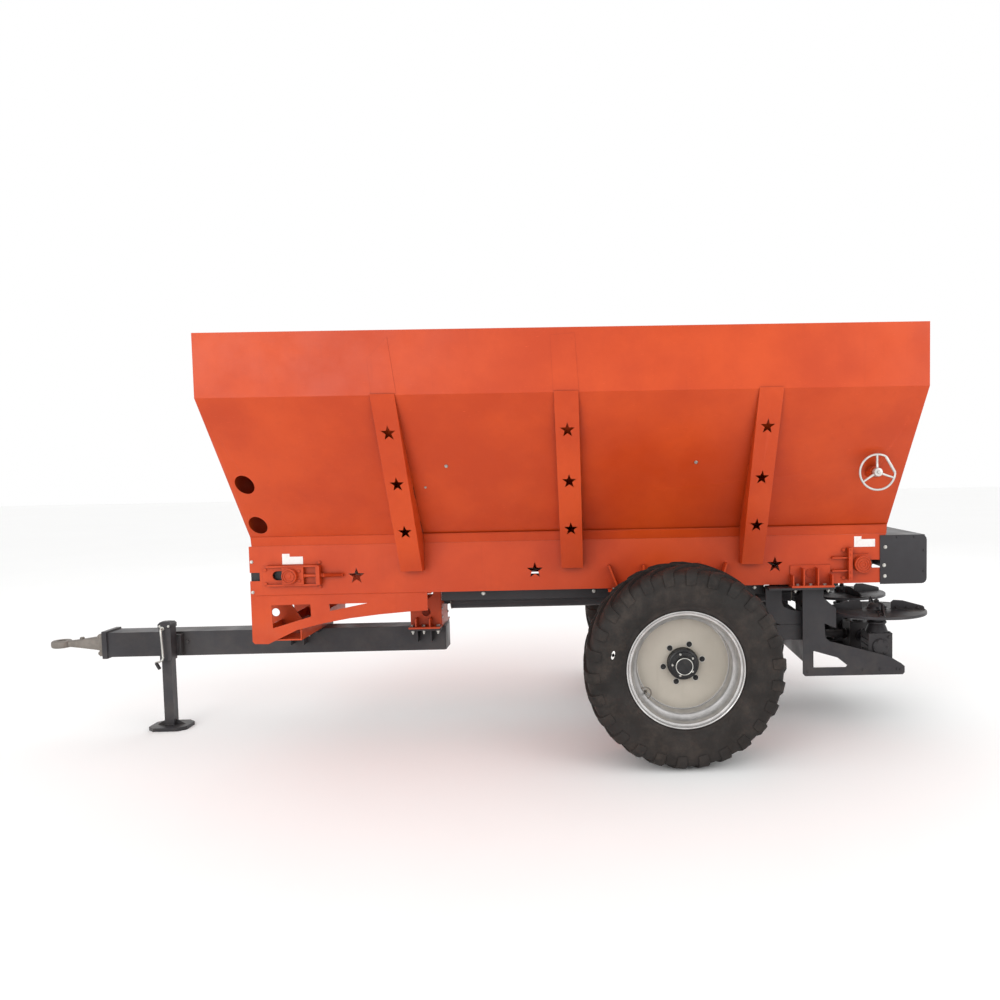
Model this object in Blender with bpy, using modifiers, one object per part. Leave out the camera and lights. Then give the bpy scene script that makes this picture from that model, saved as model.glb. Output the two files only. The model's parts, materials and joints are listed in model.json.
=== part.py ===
"""Trailed manure spreader: V hopper on one axle, floor conveyor, slide gate and two spinning discs.

Metres, +Z up. The tow eye points along -X and the left side of the machine is at -Y.
Sizes along X are measured from the axle; the empty "manure_spreader" shifts all of it so that the
origin is the middle of the footprint, on the ground.
"""

import math

import bmesh
import bpy
from mathutils import Matrix, Vector

GAP = 0.0003  # air left between pieces that touch
LEFT, RIGHT = -1, 1
SIDES = {"left": LEFT, "right": RIGHT}

# Overall places along X, from the axle.
EYE_TIP_X = -3.82
DISC_X, DISC_RADIUS = 1.216, 0.28
REAR_END_X = DISC_X + DISC_RADIUS
AXLE_X = -(EYE_TIP_X + REAR_END_X) / 2

# Hopper. Half widths and heights of its outer surface.
HOPPER_FRONT_X, HOPPER_REAR_X = -2.390, 1.239
HOPPER_TOP_Z, BAND_Z, SLOPE_Z, SEAM_Z = 2.225, 1.908, 1.172, 1.12
HALF_TOP, HALF_SLOPE, HALF_BEAM = 1.05, 0.45, 0.44
SHEET = 0.005
TOP_LIP = 0.045
FRONT_WALL_X, FRONT_WALL_FOOT_X, REAR_WALL_X = -2.386, -2.07, 0.98
SKIN_BOTTOM_Z = 1.07
SLOPE_RUN = (HALF_TOP - HALF_SLOPE) / (BAND_Z - SLOPE_Z)  # metres outward for each metre up
SLOPE_NORMAL_Y = math.cos(math.atan(SLOPE_RUN))

# Side beams under the hopper.
BEAM_WEB, BEAM_BOTTOM_Z, BEAM_FLANGE = 0.006, 0.838, 0.055
BEAM_FRONT_X, BEAM_REAR_X = -2.406, 1.235
BEAM_INNER = HALF_BEAM - BEAM_WEB
BEAM_STARS, BEAM_STAR_RADIUS = ((-1.803, 0.940), (-0.786, 0.951), (0.594, 0.955)), 0.048

# Ribs on the hopper sides.
RIBS_X = {"front": -1.474, "middle": -0.570, "rear": 0.449}
RIB_WIDTH, RIB_SHEET = 0.122, 0.004
RIB_TOP_Z, RIB_BOTTOM_Z = 1.914, 0.968
RIB_TOP_STANDOFF, RIB_HALF_BOTTOM = 0.009, 0.511
RIB_STARS_Z, RIB_STAR_RADIUS = (1.725, 1.462, 1.199), 0.039

# Floor conveyor.
ROLLER_Z = 0.951
IDLER_X, DRIVE_X = -2.167, 1.086
IDLER_SLOT_HALF = 0.0265
CHAIN_INNER, CHAIN_OUTER, CHAIN_HALF_WIDTH, CHAIN_Y = 0.082, 0.100, 0.015, 0.36
SLAT_PITCH, SLAT_LENGTH, SLAT_WIDTH, SLAT_HEIGHT = 0.29, 0.80, 0.045, 0.022
BED_THICKNESS = 0.006

# Gate.
GATE_HALF_WIDTH, GATE_BOTTOM_Z, GATE_TOP_Z = 0.42, 1.078, 1.43
OUTLET_HALF_WIDTH, OUTLET_TOP_Z = 0.38, 1.39
HANDWHEEL_X, HANDWHEEL_Y, HANDWHEEL_Z, HANDWHEEL_RADIUS = 1.060, -0.81, 1.480, 0.100
RACK_Y, PINION_RADIUS = 0.25, 0.040

# Running gear.
TYRE_RADIUS, TYRE_WIDTH, TRACK_HALF = 0.515, 0.404, 0.93
AXLE_Z = TYRE_RADIUS
RIM_FLANGE_RADIUS, RIM_SEAT_RADIUS, RIM_HALF_WIDTH = 0.2985, 0.2855, 0.172
WHEEL_DISC, HUB_PILOT = (-0.006, 0.007), 0.0802
AXLE_TUBE = 0.09

# Drawbar, tow eye and jack.
DRAWBAR_Z, DRAWBAR_SIZE, DRAWBAR_FRONT_X, DRAWBAR_REAR_X = 0.500, 0.150, -3.455, -1.375
JACK_X, JACK_Y, JACK_TUBE, JACK_LEG = -3.034, -0.148, 0.070, 0.056
JACK_TOP_Z, JACK_TUBE_BOTTOM_Z = 0.640, 0.420

# Rear frame, discs and hood.
FRAME_PLATE, FRAME_HALF = 0.008, 0.45
DISC_Y, DISC_Z = 0.34, 0.661
SHAFT_Z = 0.716
HOOD_FRONT_X, HOOD_REAR_X, HOOD_TOP_Z, HOOD_BOTTOM_Z = 1.201, 1.472, 1.112, 0.829

ORANGE = (0.62, 0.085, 0.018)
DARK_GREY = (0.045, 0.043, 0.047)


# ---------------------------------------------------------------- tools


def clear_scene():
    for obj in list(bpy.data.objects):
        bpy.data.objects.remove(obj)


def material(name, colour, roughness, metallic):
    made = bpy.data.materials.new(name)
    made.use_nodes = True
    shader = made.node_tree.nodes["Principled BSDF"]
    shader.inputs["Base Color"].default_value = (*colour, 1.0)
    shader.inputs["Roughness"].default_value = roughness
    shader.inputs["Metallic"].default_value = metallic
    return made


def link(obj):
    bpy.context.scene.collection.objects.link(obj)
    return obj


def baked(obj):
    """The object as a welded mesh, with its modifiers or its curve settings applied."""
    bpy.context.view_layer.update()
    graph = bpy.context.evaluated_depsgraph_get()
    mesh = bpy.data.meshes.new_from_object(obj.evaluated_get(graph))
    form = bmesh.new()
    form.from_mesh(mesh)
    bmesh.ops.remove_doubles(form, verts=form.verts, dist=1e-5)
    form.to_mesh(mesh)
    form.free()
    made = link(bpy.data.objects.new(obj.name, mesh))
    made.matrix_world = obj.matrix_world
    name = obj.name
    bpy.data.objects.remove(obj)
    made.name = name
    return made


def box(low, high, name="box"):
    """A box from its lowest corner to its highest."""
    low, high = Vector(low), Vector(high)
    form = bmesh.new()
    bmesh.ops.create_cube(form, size=1.0)
    bmesh.ops.scale(form, vec=high - low, verts=form.verts)
    bmesh.ops.translate(form, vec=(low + high) / 2, verts=form.verts)
    mesh = bpy.data.meshes.new(name)
    form.to_mesh(mesh)
    form.free()
    return link(bpy.data.objects.new(name, mesh))


AXES = {
    "X": Matrix.Rotation(math.pi / 2, 4, "Y"),
    "Y": Matrix.Rotation(-math.pi / 2, 4, "X"),
    "Z": Matrix.Identity(4),
}


def rod(start, axis, length, radius, end_radius=None, sides=24, name="rod"):
    """A cylinder or cone that runs from start along +axis."""
    form = bmesh.new()
    bmesh.ops.create_cone(
        form,
        cap_ends=True,
        segments=sides,
        radius1=radius,
        radius2=radius if end_radius is None else end_radius,
        depth=length,
        matrix=Matrix.Translation((0, 0, length / 2)),
    )
    mesh = bpy.data.meshes.new(name)
    form.to_mesh(mesh)
    form.free()
    obj = link(bpy.data.objects.new(name, mesh))
    obj.matrix_world = Matrix.Translation(start) @ AXES[axis]
    return obj


# How a plate's own plane lies: side is XZ seen from the left, cross is YZ, flat is XY.
PLANES = {
    "side": Matrix.Rotation(math.pi / 2, 4, "X"),
    "cross": Matrix.Rotation(math.pi / 2, 4, "Z") @ Matrix.Rotation(math.pi / 2, 4, "X"),
    "flat": Matrix.Identity(4),
}
THICKNESS_AXIS = {"side": Vector((0, 1, 0)), "cross": Vector((1, 0, 0)), "flat": Vector((0, 0, 1))}


def plate(outline, plane, low, high, holes=(), name="plate"):
    """A flat outline, with holes, that fills from low to high across its plane."""
    curve = bpy.data.curves.new(name, "CURVE")
    curve.dimensions = "2D"
    curve.fill_mode = "BOTH"
    curve.extrude = (high - low) / 2
    for points in (outline, *holes):
        spline = curve.splines.new("POLY")
        spline.points.add(len(points) - 1)
        for point, place in zip(spline.points, points):
            point.co = (*place, 0, 1)
        spline.use_cyclic_u = True
    obj = link(bpy.data.objects.new(name, curve))
    middle = THICKNESS_AXIS[plane] * (low + high) / 2
    obj.matrix_world = Matrix.Translation(middle) @ PLANES[plane]
    return baked(obj)


def turned(profile, axis, centre, steps=48, name="turned"):
    """A closed profile of (radius, place along the axis) points, turned round the axis."""
    mesh = bpy.data.meshes.new(name)
    form = bmesh.new()
    points = [form.verts.new((radius, 0, along)) for radius, along in profile]
    on_axis = profile[0][0] == 0 and profile[-1][0] == 0
    for first, second in zip(points, points[1:] + ([] if on_axis else points[:1])):
        form.edges.new((first, second))
    form.to_mesh(mesh)
    form.free()
    obj = link(bpy.data.objects.new(name, mesh))
    screw = obj.modifiers.new("Screw", "SCREW")
    screw.steps = screw.render_steps = steps
    screw.use_merge_vertices = True
    screw.merge_threshold = 1e-5
    obj.matrix_world = Matrix.Translation(centre) @ AXES[axis]
    made = baked(obj)
    form = bmesh.new()
    form.from_mesh(made.data)
    bmesh.ops.recalc_face_normals(form, faces=form.faces)
    form.to_mesh(made.data)
    form.free()
    return made


def lofted(rows, name="loft"):
    """A closed solid through rings of the same number of points."""
    form = bmesh.new()
    rings = [[form.verts.new(place) for place in row] for row in rows]
    for ring, following in zip(rings, rings[1:]):
        for index in range(len(ring)):
            after = (index + 1) % len(ring)
            form.faces.new((ring[index], ring[after], following[after], following[index]))
    form.faces.new(rings[0][::-1])
    form.faces.new(rings[-1])
    bmesh.ops.recalc_face_normals(form, faces=form.faces)
    mesh = bpy.data.meshes.new(name)
    form.to_mesh(mesh)
    form.free()
    return link(bpy.data.objects.new(name, mesh))


def wire(points, radius, name="wire", resolution=2):
    """A round bar along straight runs between points."""
    curve = bpy.data.curves.new(name, "CURVE")
    curve.dimensions = "3D"
    curve.bevel_depth = radius
    curve.bevel_resolution = resolution
    curve.use_fill_caps = True
    spline = curve.splines.new("POLY")
    spline.points.add(len(points) - 1)
    for point, place in zip(spline.points, points):
        point.co = (*place, 1)
    return baked(link(bpy.data.objects.new(name, curve)))


def combine(obj, others, operation):
    for other in others:
        step = obj.modifiers.new(operation, "BOOLEAN")
        step.operation = operation
        step.object = other
    made = baked(obj)
    for other in others:
        bpy.data.objects.remove(other)
    return made


def joined(obj, *others):
    return combine(obj, others, "UNION")


def cut(obj, *cutters):
    return combine(obj, cutters, "DIFFERENCE")


def node(obj, name, finish):
    """Names a finished piece, colours it and hangs it on the machine's empty."""
    obj.name = name
    obj.data.name = name
    obj.data.materials.clear()
    obj.data.materials.append(finish)
    obj.data.shade_smooth()
    obj.data.set_sharp_from_angle(angle=math.radians(35))
    return obj


def star(x, z, radius, lean=0.0):
    """The ten corners of a five-pointed star."""
    corners = []
    for corner in range(10):
        reach = radius if corner % 2 == 0 else radius * 0.40
        angle = math.pi / 2 + lean + corner * math.pi / 5
        corners.append((x + reach * math.cos(angle), z + reach * math.sin(angle)))
    return corners


def slot(x_low, x_high, z, radius, steps=8):
    """A slot with round ends along X."""
    points = []
    for centre, start in ((x_high - radius, -math.pi / 2), (x_low + radius, math.pi / 2)):
        for step in range(steps + 1):
            angle = start + math.pi * step / steps
            points.append((centre + radius * math.cos(angle), z + radius * math.sin(angle)))
    return points


def circle(x, z, radius, steps=24):
    return [
        (x + radius * math.cos(math.tau * step / steps), z + radius * math.sin(math.tau * step / steps))
        for step in range(steps)
    ]


def across(side, inner, outer):
    """Lowest and highest Y of something between two distances from the middle plane."""
    return (side * outer, side * inner) if side < 0 else (side * inner, side * outer)


# ---------------------------------------------------------------- hopper


def hopper_corners(inset):
    """(half width, height) of the hopper wall's corners, moved inward by inset, top to bottom."""
    slope_shift = inset / SLOPE_NORMAL_Y
    fold_z = SLOPE_Z + (HALF_TOP - inset - HALF_SLOPE + slope_shift) / SLOPE_RUN
    foot = HALF_BEAM - inset
    foot_z = SLOPE_Z + (foot - HALF_SLOPE + slope_shift) / SLOPE_RUN
    return fold_z, foot_z, foot


def hopper_side(side):
    """One folded sheet: lip, upright band, slope and the short turn down to the beam."""
    profile = (
        (HALF_TOP - TOP_LIP, HOPPER_TOP_Z),
        (HALF_TOP, HOPPER_TOP_Z),
        (HALF_TOP, BAND_Z),
        (HALF_SLOPE, SLOPE_Z),
        (HALF_BEAM, SEAM_Z + GAP),
    )
    form = bmesh.new()
    rows = [
        [form.verts.new((x, side * y, z)) for y, z in profile]
        for x in (HOPPER_FRONT_X, HOPPER_REAR_X)
    ]
    for front, back, back_next, front_next in zip(rows[0], rows[1], rows[1][1:], rows[0][1:]):
        corners = (front, back, back_next, front_next)
        form.faces.new(corners if side > 0 else corners[::-1])
    mesh = bpy.data.meshes.new("sheet")
    form.to_mesh(mesh)
    form.free()
    obj = link(bpy.data.objects.new("sheet", mesh))
    thick = obj.modifiers.new("Solidify", "SOLIDIFY")
    thick.thickness = SHEET
    thick.offset = -1
    thick.use_even_offset = True
    sheet = baked(obj)
    cutters = []
    for x, z in ((-2.308, 1.475), (-2.320, 1.245)):
        cutters.append(rod((x, -1.2 if side < 0 else 0.2, z), "Y", 1.0, 0.05))
    if side == LEFT:
        sheet = joined(sheet, rod((HANDWHEEL_X, HANDWHEEL_Y + 0.030, HANDWHEEL_Z), "Y", 0.10, 0.030))
        cutters.append(rod((HANDWHEEL_X, -1.0, HANDWHEEL_Z), "Y", 0.6, 0.0145))
    return cut(sheet, *cutters)


def rear_wall():
    """Wall across the hopper's rear, between the folded sheets, with the outlet cut in it."""
    inset = SHEET + 0.0015
    fold_z, foot_z, foot = hopper_corners(inset)
    half = [
        (HALF_TOP - inset, HOPPER_TOP_Z - SHEET - 0.012),
        (HALF_TOP - inset, fold_z),
        (foot - 0.004, foot_z),
        (foot - 0.004, 1.075),
        (OUTLET_HALF_WIDTH, 1.075),
        (OUTLET_HALF_WIDTH, OUTLET_TOP_Z),
    ]
    outline = half + [(-y, z) for y, z in reversed(half)]
    return plate(outline, "cross", REAR_WALL_X, REAR_WALL_X + SHEET)


def front_wall():
    """Wall at the hopper's front: upright in the top band, then raked back down to the floor."""
    inset = SHEET + 0.0015
    fold_z, foot_z, foot = hopper_corners(inset)
    upright = [
        (-HALF_TOP + inset, HOPPER_TOP_Z - SHEET - 0.012),
        (-HALF_TOP + inset, fold_z),
        (HALF_TOP - inset, fold_z),
        (HALF_TOP - inset, HOPPER_TOP_Z - SHEET - 0.012),
    ]
    top = plate(upright, "cross", FRONT_WALL_X, FRONT_WALL_X + SHEET)
    rake = (FRONT_WALL_FOOT_X - FRONT_WALL_X) / (fold_z - foot_z)
    rows = []
    for half, z in ((HALF_TOP - inset, fold_z + 0.002), (foot - 0.004, foot_z), (foot - 0.004, 1.10)):
        x = FRONT_WALL_X + (fold_z - z) * rake
        rows.append([(x, -half, z), (x, half, z), (x + 0.006, half, z), (x + 0.006, -half, z)])
    return joined(top, lofted(rows))


def front_skin():
    """Flat front face below the top band, which closes the space ahead of the raked wall."""
    inset = SHEET + 0.0015
    fold_z, foot_z, foot = hopper_corners(inset)
    half = [
        (hopper_corners(inset)[2] - 0.004, SKIN_BOTTOM_Z),
        (foot - 0.004, foot_z),
        (HALF_TOP - inset - 0.008, fold_z - 0.0105),
    ]
    outline = half + [(-y, z) for y, z in reversed(half)]
    return plate(outline, "cross", FRONT_WALL_X - 0.0015, FRONT_WALL_X + 0.0025)


def rib(side, x):
    """A tapered channel that stands on the slope, with three stars cut in its face."""
    clear = GAP
    face = (HALF_TOP + RIB_TOP_STANDOFF, RIB_TOP_Z)
    outer = [face, (RIB_HALF_BOTTOM, RIB_BOTTOM_Z)]
    slope_clear = 0.0006
    inner = [
        (HALF_BEAM + clear, RIB_BOTTOM_Z),
        (HALF_BEAM + clear, SEAM_Z),
        (HALF_SLOPE + slope_clear, SLOPE_Z),
        (HALF_TOP + clear, BAND_Z),
    ]
    low, high = x - RIB_WIDTH / 2, x + RIB_WIDTH / 2
    body = plate([(side * y, z) for y, z in outer + inner], "cross", low, high)
    direction = Vector((face[0] - RIB_HALF_BOTTOM, face[1] - RIB_BOTTOM_Z)).normalized()
    inward = Vector((-direction.y, direction.x)) * RIB_SHEET
    hollow = [
        (RIB_HALF_BOTTOM + inward.x, RIB_BOTTOM_Z + inward.y + RIB_SHEET),
        (face[0] + inward.x - 0.09 * direction.x, face[1] + inward.y - 0.09 * direction.y),
        (HALF_BEAM - 0.2, BAND_Z + 0.30),
        (HALF_BEAM - 0.2, RIB_BOTTOM_Z + RIB_SHEET),
    ]
    cavity = plate([(side * y, z) for y, z in hollow], "cross", low + RIB_SHEET, high - RIB_SHEET)
    cutters = [cavity]
    for z in RIB_STARS_Z:
        y_face = RIB_HALF_BOTTOM + (z - RIB_BOTTOM_Z) * direction.x / direction.y
        y_low, y_high = across(side, y_face - 0.05, y_face + 0.05)
        cutters.append(plate(star(x, z, RIB_STAR_RADIUS), "side", y_low, y_high))
    return cut(body, *cutters)


def beam(side):
    """Side beam: a web with an inward flange that reaches down past the drawbar in front.

    Stars, bearing holes and the two windows of the front part are cut in the web.
    """
    web_low, web_high = across(side, BEAM_INNER, HALF_BEAM)
    outline = [
        (BEAM_FRONT_X, 0.575),
        (-2.394, 0.561),
        (-2.316, 0.559),
        (-2.150, 0.637),
        (-2.000, 0.672),
        (-1.850, 0.697),
        (-1.680, 0.716),
        (-1.477, 0.731),
        (-1.404, 0.733),
        (-1.404, BEAM_BOTTOM_Z),
        (BEAM_REAR_X, BEAM_BOTTOM_Z),
        (BEAM_REAR_X, 0.925),
        (1.140, 0.925),
        (1.140, 0.972),
        (BEAM_REAR_X, 0.969),
        (BEAM_REAR_X, SEAM_Z),
        (BEAM_FRONT_X, SEAM_Z),
        (BEAM_FRONT_X, 0.970),
        (BEAM_FRONT_X + 0.056, 0.970),
        (BEAM_FRONT_X + 0.056, 0.922),
        (BEAM_FRONT_X, 0.922),
    ]
    holes = [star(x, z, BEAM_STAR_RADIUS) for x, z in BEAM_STARS]
    holes.append(slot(IDLER_X - 0.110, IDLER_X + 0.110, ROLLER_Z, IDLER_SLOT_HALF))
    holes.append(circle(DRIVE_X, ROLLER_Z, 0.037))
    holes.append([(-2.291, 0.782), (-2.071, 0.783), (-2.069, 0.712), (-2.288, 0.649)])
    holes.append([(-1.965, 0.782), (-1.743, 0.783), (-1.960, 0.742)])
    web = plate(outline, "side", web_low, web_high, holes)
    low, high = across(side, HALF_BEAM - BEAM_FLANGE, HALF_BEAM - 0.002)
    flange = box(
        (BEAM_FRONT_X + 0.004, low, BEAM_BOTTOM_Z + 0.001),
        (BEAM_REAR_X - 0.004, high, BEAM_BOTTOM_Z + 0.001 + BEAM_WEB),
    )
    return joined(web, flange)


# ---------------------------------------------------------------- conveyor


def stadium(radius, steps=10):
    points = []
    for x, start in ((DRIVE_X, -math.pi / 2), (IDLER_X, math.pi / 2)):
        for step in range(steps + 1):
            angle = start + math.pi * step / steps
            points.append((x + radius * math.cos(angle), ROLLER_Z + radius * math.sin(angle)))
    return points


def conveyor():
    """Two chains round the rollers, joined by slats on both runs."""
    chains = [
        plate(
            stadium(CHAIN_OUTER),
            "side",
            side * CHAIN_Y - CHAIN_HALF_WIDTH,
            side * CHAIN_Y + CHAIN_HALF_WIDTH,
            [stadium(CHAIN_INNER)],
        )
        for side in (LEFT, RIGHT)
    ]
    slats = []
    count = int((DRIVE_X - IDLER_X) / SLAT_PITCH)
    for index in range(count + 1):
        x = IDLER_X + 0.06 + index * SLAT_PITCH
        for z in (ROLLER_Z + CHAIN_INNER + 0.001, ROLLER_Z - CHAIN_INNER - 0.001 - SLAT_HEIGHT):
            low = (x - SLAT_WIDTH / 2, -SLAT_LENGTH / 2, z)
            high = (x + SLAT_WIDTH / 2, SLAT_LENGTH / 2, z + SLAT_HEIGHT)
            slats.append(box(low, high))
    return joined(chains[0], *slats, chains[1])


def conveyor_bed():
    """The floor that the slats scrape along, on cross bars between the beams."""
    top = ROLLER_Z + CHAIN_INNER - 0.003
    half = BEAM_INNER - 0.001
    front, back = IDLER_X + 0.12, DRIVE_X - 0.11
    bed = box((front, -half, top - BED_THICKNESS), (back, half, top))
    bars = []
    for index in range(5):
        x = front + 0.10 + index * (back - front - 0.20) / 4
        bars.append(box((x - 0.03, -half, top - BED_THICKNESS - 0.06), (x + 0.03, half, top - 0.001)))
    return joined(bed, *bars)


def roller(x, left_reach, right_reach):
    """A shaft with two chain wheels."""
    shaft = rod((x, -left_reach, ROLLER_Z), "Y", left_reach + right_reach, 0.025)
    wheels = [
        rod((x, side * CHAIN_Y - 0.012, ROLLER_Z), "Y", 0.024, CHAIN_INNER - 0.0012, sides=20)
        for side in (LEFT, RIGHT)
    ]
    return joined(shaft, *wheels)


def tensioner(side):
    """Sliding bearing block between two rails, pulled by a screw."""
    wall = HALF_BEAM + GAP
    z = ROLLER_Z
    x = IDLER_X

    def piece(x_low, x_high, inner, outer, z_low, z_high):
        low, high = across(side, wall + inner, wall + outer)
        return box((x_low, low, z + z_low), (x_high, high, z + z_high))

    base = piece(x - 0.165, x + 0.166, 0, 0.004, -0.056, 0.056)
    rails = [
        piece(x - 0.137, x + 0.150, 0.002, 0.024, 0.0485, 0.0585),
        piece(x - 0.137, x + 0.150, 0.002, 0.024, -0.0585, -0.0485),
    ]
    end = piece(x + 0.147, x + 0.1685, 0.003, 0.044, -0.0535, 0.0535)
    block = piece(x - 0.0475, x + 0.074, 0.001, 0.030, -0.0492, 0.0492)
    low, high = across(side, wall + 0.028, wall + 0.052)
    cap = rod((x, low, z), "Y", high - low, 0.043)
    screw = rod((x + 0.07, side * (wall + 0.020), z), "X", 0.225, 0.009, sides=12)
    half = IDLER_SLOT_HALF
    window = [(x - 0.050, z - half), (x - 0.050, z + half)]
    for step in range(9):
        angle = math.pi / 2 + math.pi * step / 8
        window.append((x - 0.110 + half + half * math.cos(angle), z + half * math.sin(angle)))
    low, high = across(side, 0.3, wall + 0.0045)
    opening = plate(window, "side", low, high)
    low, high = across(side, 0.3, wall + 0.046)
    bore = rod((x, low, z), "Y", high - low, 0.026)
    return cut(joined(base, block, cap, *rails, end, screw), opening, bore)


def drive_bearing(side):
    """Flanged bearing of the rear conveyor shaft, with a post and two gussets."""
    wall = HALF_BEAM + GAP
    x, z = DRIVE_X, ROLLER_Z
    low, high = across(side, wall, wall + 0.020)
    flange = box((x - 0.050, low, z - 0.055), (x + 0.050, high, z + 0.055))
    housing = rod((x, across(side, wall + 0.019, wall + 0.055)[0], z), "Y", 0.036, 0.048)
    post_low, post_high = across(side, wall, wall + 0.045)
    post = box((x - 0.078, post_low, z - 0.090), (x - 0.056, post_high, z + 0.095))
    gussets = []
    for offset in (-0.037, 0.037):
        low_g, high_g = across(side, wall, wall + 0.030)
        gussets.append(box((x - 0.168, low_g, z + offset - 0.004), (x - 0.076, high_g, z + offset + 0.004)))
    bridge = box((x - 0.060, low, z - 0.055), (x - 0.045, high, z + 0.055))
    body = joined(flange, housing, bridge, post, *gussets)
    reach = wall + (0.046 if side == LEFT else 0.2)
    low, high = across(side, 0.3, reach)
    return cut(body, rod((x, low, z), "Y", high - low, 0.026))


def conveyor_reducer():
    """Reduction gearbox that turns the rear conveyor shaft, on the right."""
    x, z = DRIVE_X, ROLLER_Z
    y = HALF_BEAM + 0.0575
    case = box((x - 0.085, y, z - 0.085), (x + 0.085, y + 0.13, z + 0.085))
    motor = rod((x - 0.25, y + 0.065, z - 0.02), "X", 0.17, 0.045)
    cover = rod((x, y + 0.129, z), "Y", 0.018, 0.055)
    body = joined(case, motor, cover)
    return cut(body, rod((x, y - 0.05, z), "Y", 0.11, 0.0256))


# ---------------------------------------------------------------- gate


def gate_frame():
    """Angled guides, a head bar and the cross shaft's two bearings, on the rear wall."""
    back = REAR_WALL_X + SHEET + GAP
    inner, outer = GATE_HALF_WIDTH + 0.005, GATE_HALF_WIDTH + 0.035
    top = GATE_TOP_Z + 0.46
    pieces = []
    for side in (LEFT, RIGHT):
        section = [
            (back, side * outer),
            (back + 0.0175, side * outer),
            (back + 0.0175, side * (inner - 0.020)),
            (back + 0.0115, side * (inner - 0.020)),
            (back + 0.0115, side * inner),
            (back, side * inner),
        ]
        pieces.append(plate(section, "flat", 1.225, top - 0.010))
        low, high = across(side, inner + 0.003, outer - 0.003)
        z = HANDWHEEL_Z
        pieces.append(box((back + 0.015, low, z - 0.032), (HANDWHEEL_X + 0.032, high, z + 0.032)))
    head = box((back, -outer - 0.004, top - 0.034), (back + 0.021, outer + 0.004, top))
    bore = rod((HANDWHEEL_X, -0.6, HANDWHEEL_Z), "Y", 1.2, 0.0145)
    return cut(joined(head, *pieces), bore)


def gate():
    """Outlet gate with two racks."""
    x = REAR_WALL_X + SHEET + GAP + 0.003
    body = box((x, -GATE_HALF_WIDTH, GATE_BOTTOM_Z), (x + 0.005, GATE_HALF_WIDTH, GATE_TOP_Z))
    racks = [
        box((x + 0.0045, side * RACK_Y - 0.012, 1.15), (x + 0.024, side * RACK_Y + 0.012, 1.525))
        for side in (LEFT, RIGHT)
    ]
    return joined(body, *racks)


def gate_shaft():
    """Cross shaft with two pinions."""
    start = HANDWHEEL_Y - 0.010
    shaft = rod((HANDWHEEL_X, start, HANDWHEEL_Z), "Y", 0.47 - start, 0.014, sides=16)
    pinions = [
        rod((HANDWHEEL_X, side * RACK_Y - 0.014, HANDWHEEL_Z), "Y", 0.028, PINION_RADIUS, sides=20)
        for side in (LEFT, RIGHT)
    ]
    return joined(shaft, *pinions)


def handwheel():
    """Three-spoke handwheel with a chord handle across its upper rear part."""
    ring_low, ring_high = math.radians(62), math.radians(62 + 295)
    steps = 40
    radius = HANDWHEEL_RADIUS - 0.006
    centre = Vector((HANDWHEEL_X, HANDWHEEL_Y, HANDWHEEL_Z))
    points = [
        centre + Vector((radius * math.cos(angle), 0, radius * math.sin(angle)))
        for angle in (ring_low + (ring_high - ring_low) * step / steps for step in range(steps + 1))
    ]
    ring = wire(points, 0.006)
    handle = wire([points[0] + Vector((0, -0.004, 0)), points[-1] + Vector((0, -0.004, 0))], 0.0075)
    hub = rod(centre + Vector((0, -0.016, 0)), "Y", 0.036, 0.022, sides=16)
    bore = rod(centre + Vector((0, -0.0105, 0)), "Y", 0.08, 0.0145, sides=16)
    spokes = []
    for angle in (math.pi / 2 + 0.02, math.radians(213), math.radians(340)):
        tip = centre + Vector((radius * math.cos(angle), 0, radius * math.sin(angle)))
        spokes.append(wire([centre, tip], 0.0062))
    return cut(joined(ring, handle, hub, *spokes), bore)


# ---------------------------------------------------------------- running gear


def tyre(side):
    """Carcass of the tyre, with rounded shoulders and beads on the rim's seats."""
    half = TYRE_WIDTH / 2
    bead = RIM_SEAT_RADIUS + 0.0015
    right_half = [
        (bead, 0.150),
        (bead + 0.018, 0.158),
        (0.325, 0.180),
        (0.375, 0.198),
        (0.415, half),
        (0.455, 0.192),
        (0.488, 0.172),
        (0.506, 0.140),
        (0.513, 0.080),
    ]
    outer = right_half + [(TYRE_RADIUS, 0.0)] + [(radius, -y) for radius, y in reversed(right_half)]
    inner = [
        (bead, -0.118),
        (0.330, -0.160),
        (0.415, -0.180),
        (0.470, -0.150),
        (0.490, -0.080),
        (0.490, 0.080),
        (0.470, 0.150),
        (0.415, 0.180),
        (0.330, 0.160),
        (bead, 0.118),
    ]
    return turned(outer + inner, "Y", (0, side * TRACK_HALF, AXLE_Z), steps=40)


def rim(side):
    """Well-base rim with a centre disc, bored for the hub's pilot."""
    lip, seat, well = RIM_FLANGE_RADIUS, RIM_SEAT_RADIUS, 0.250
    half_outer = [(lip, 0.172), (lip, 0.163), (seat, 0.155), (seat - 0.002, 0.118)]
    half_inner = [(seat - 0.012, 0.122), (seat - 0.010, 0.155), (lip - 0.008, 0.172)]
    profile = half_outer + [(well, 0.085), (well, -0.070)]
    profile += [(radius, -along) for radius, along in reversed(half_outer)]
    profile += [(radius, -along) for radius, along in reversed(half_inner)]
    profile += [
        (well - 0.010, -0.074),
        (well - 0.010, WHEEL_DISC[0]),
        (HUB_PILOT + 0.0006, WHEEL_DISC[0]),
        (HUB_PILOT + 0.0006, WHEEL_DISC[1]),
        (well - 0.010, WHEEL_DISC[1]),
        (well - 0.010, 0.089),
    ]
    profile += half_inner
    outward = [(radius, side * along) for radius, along in profile]
    return turned(outward, "Y", (0, side * TRACK_HALF, AXLE_Z), steps=40)


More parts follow.
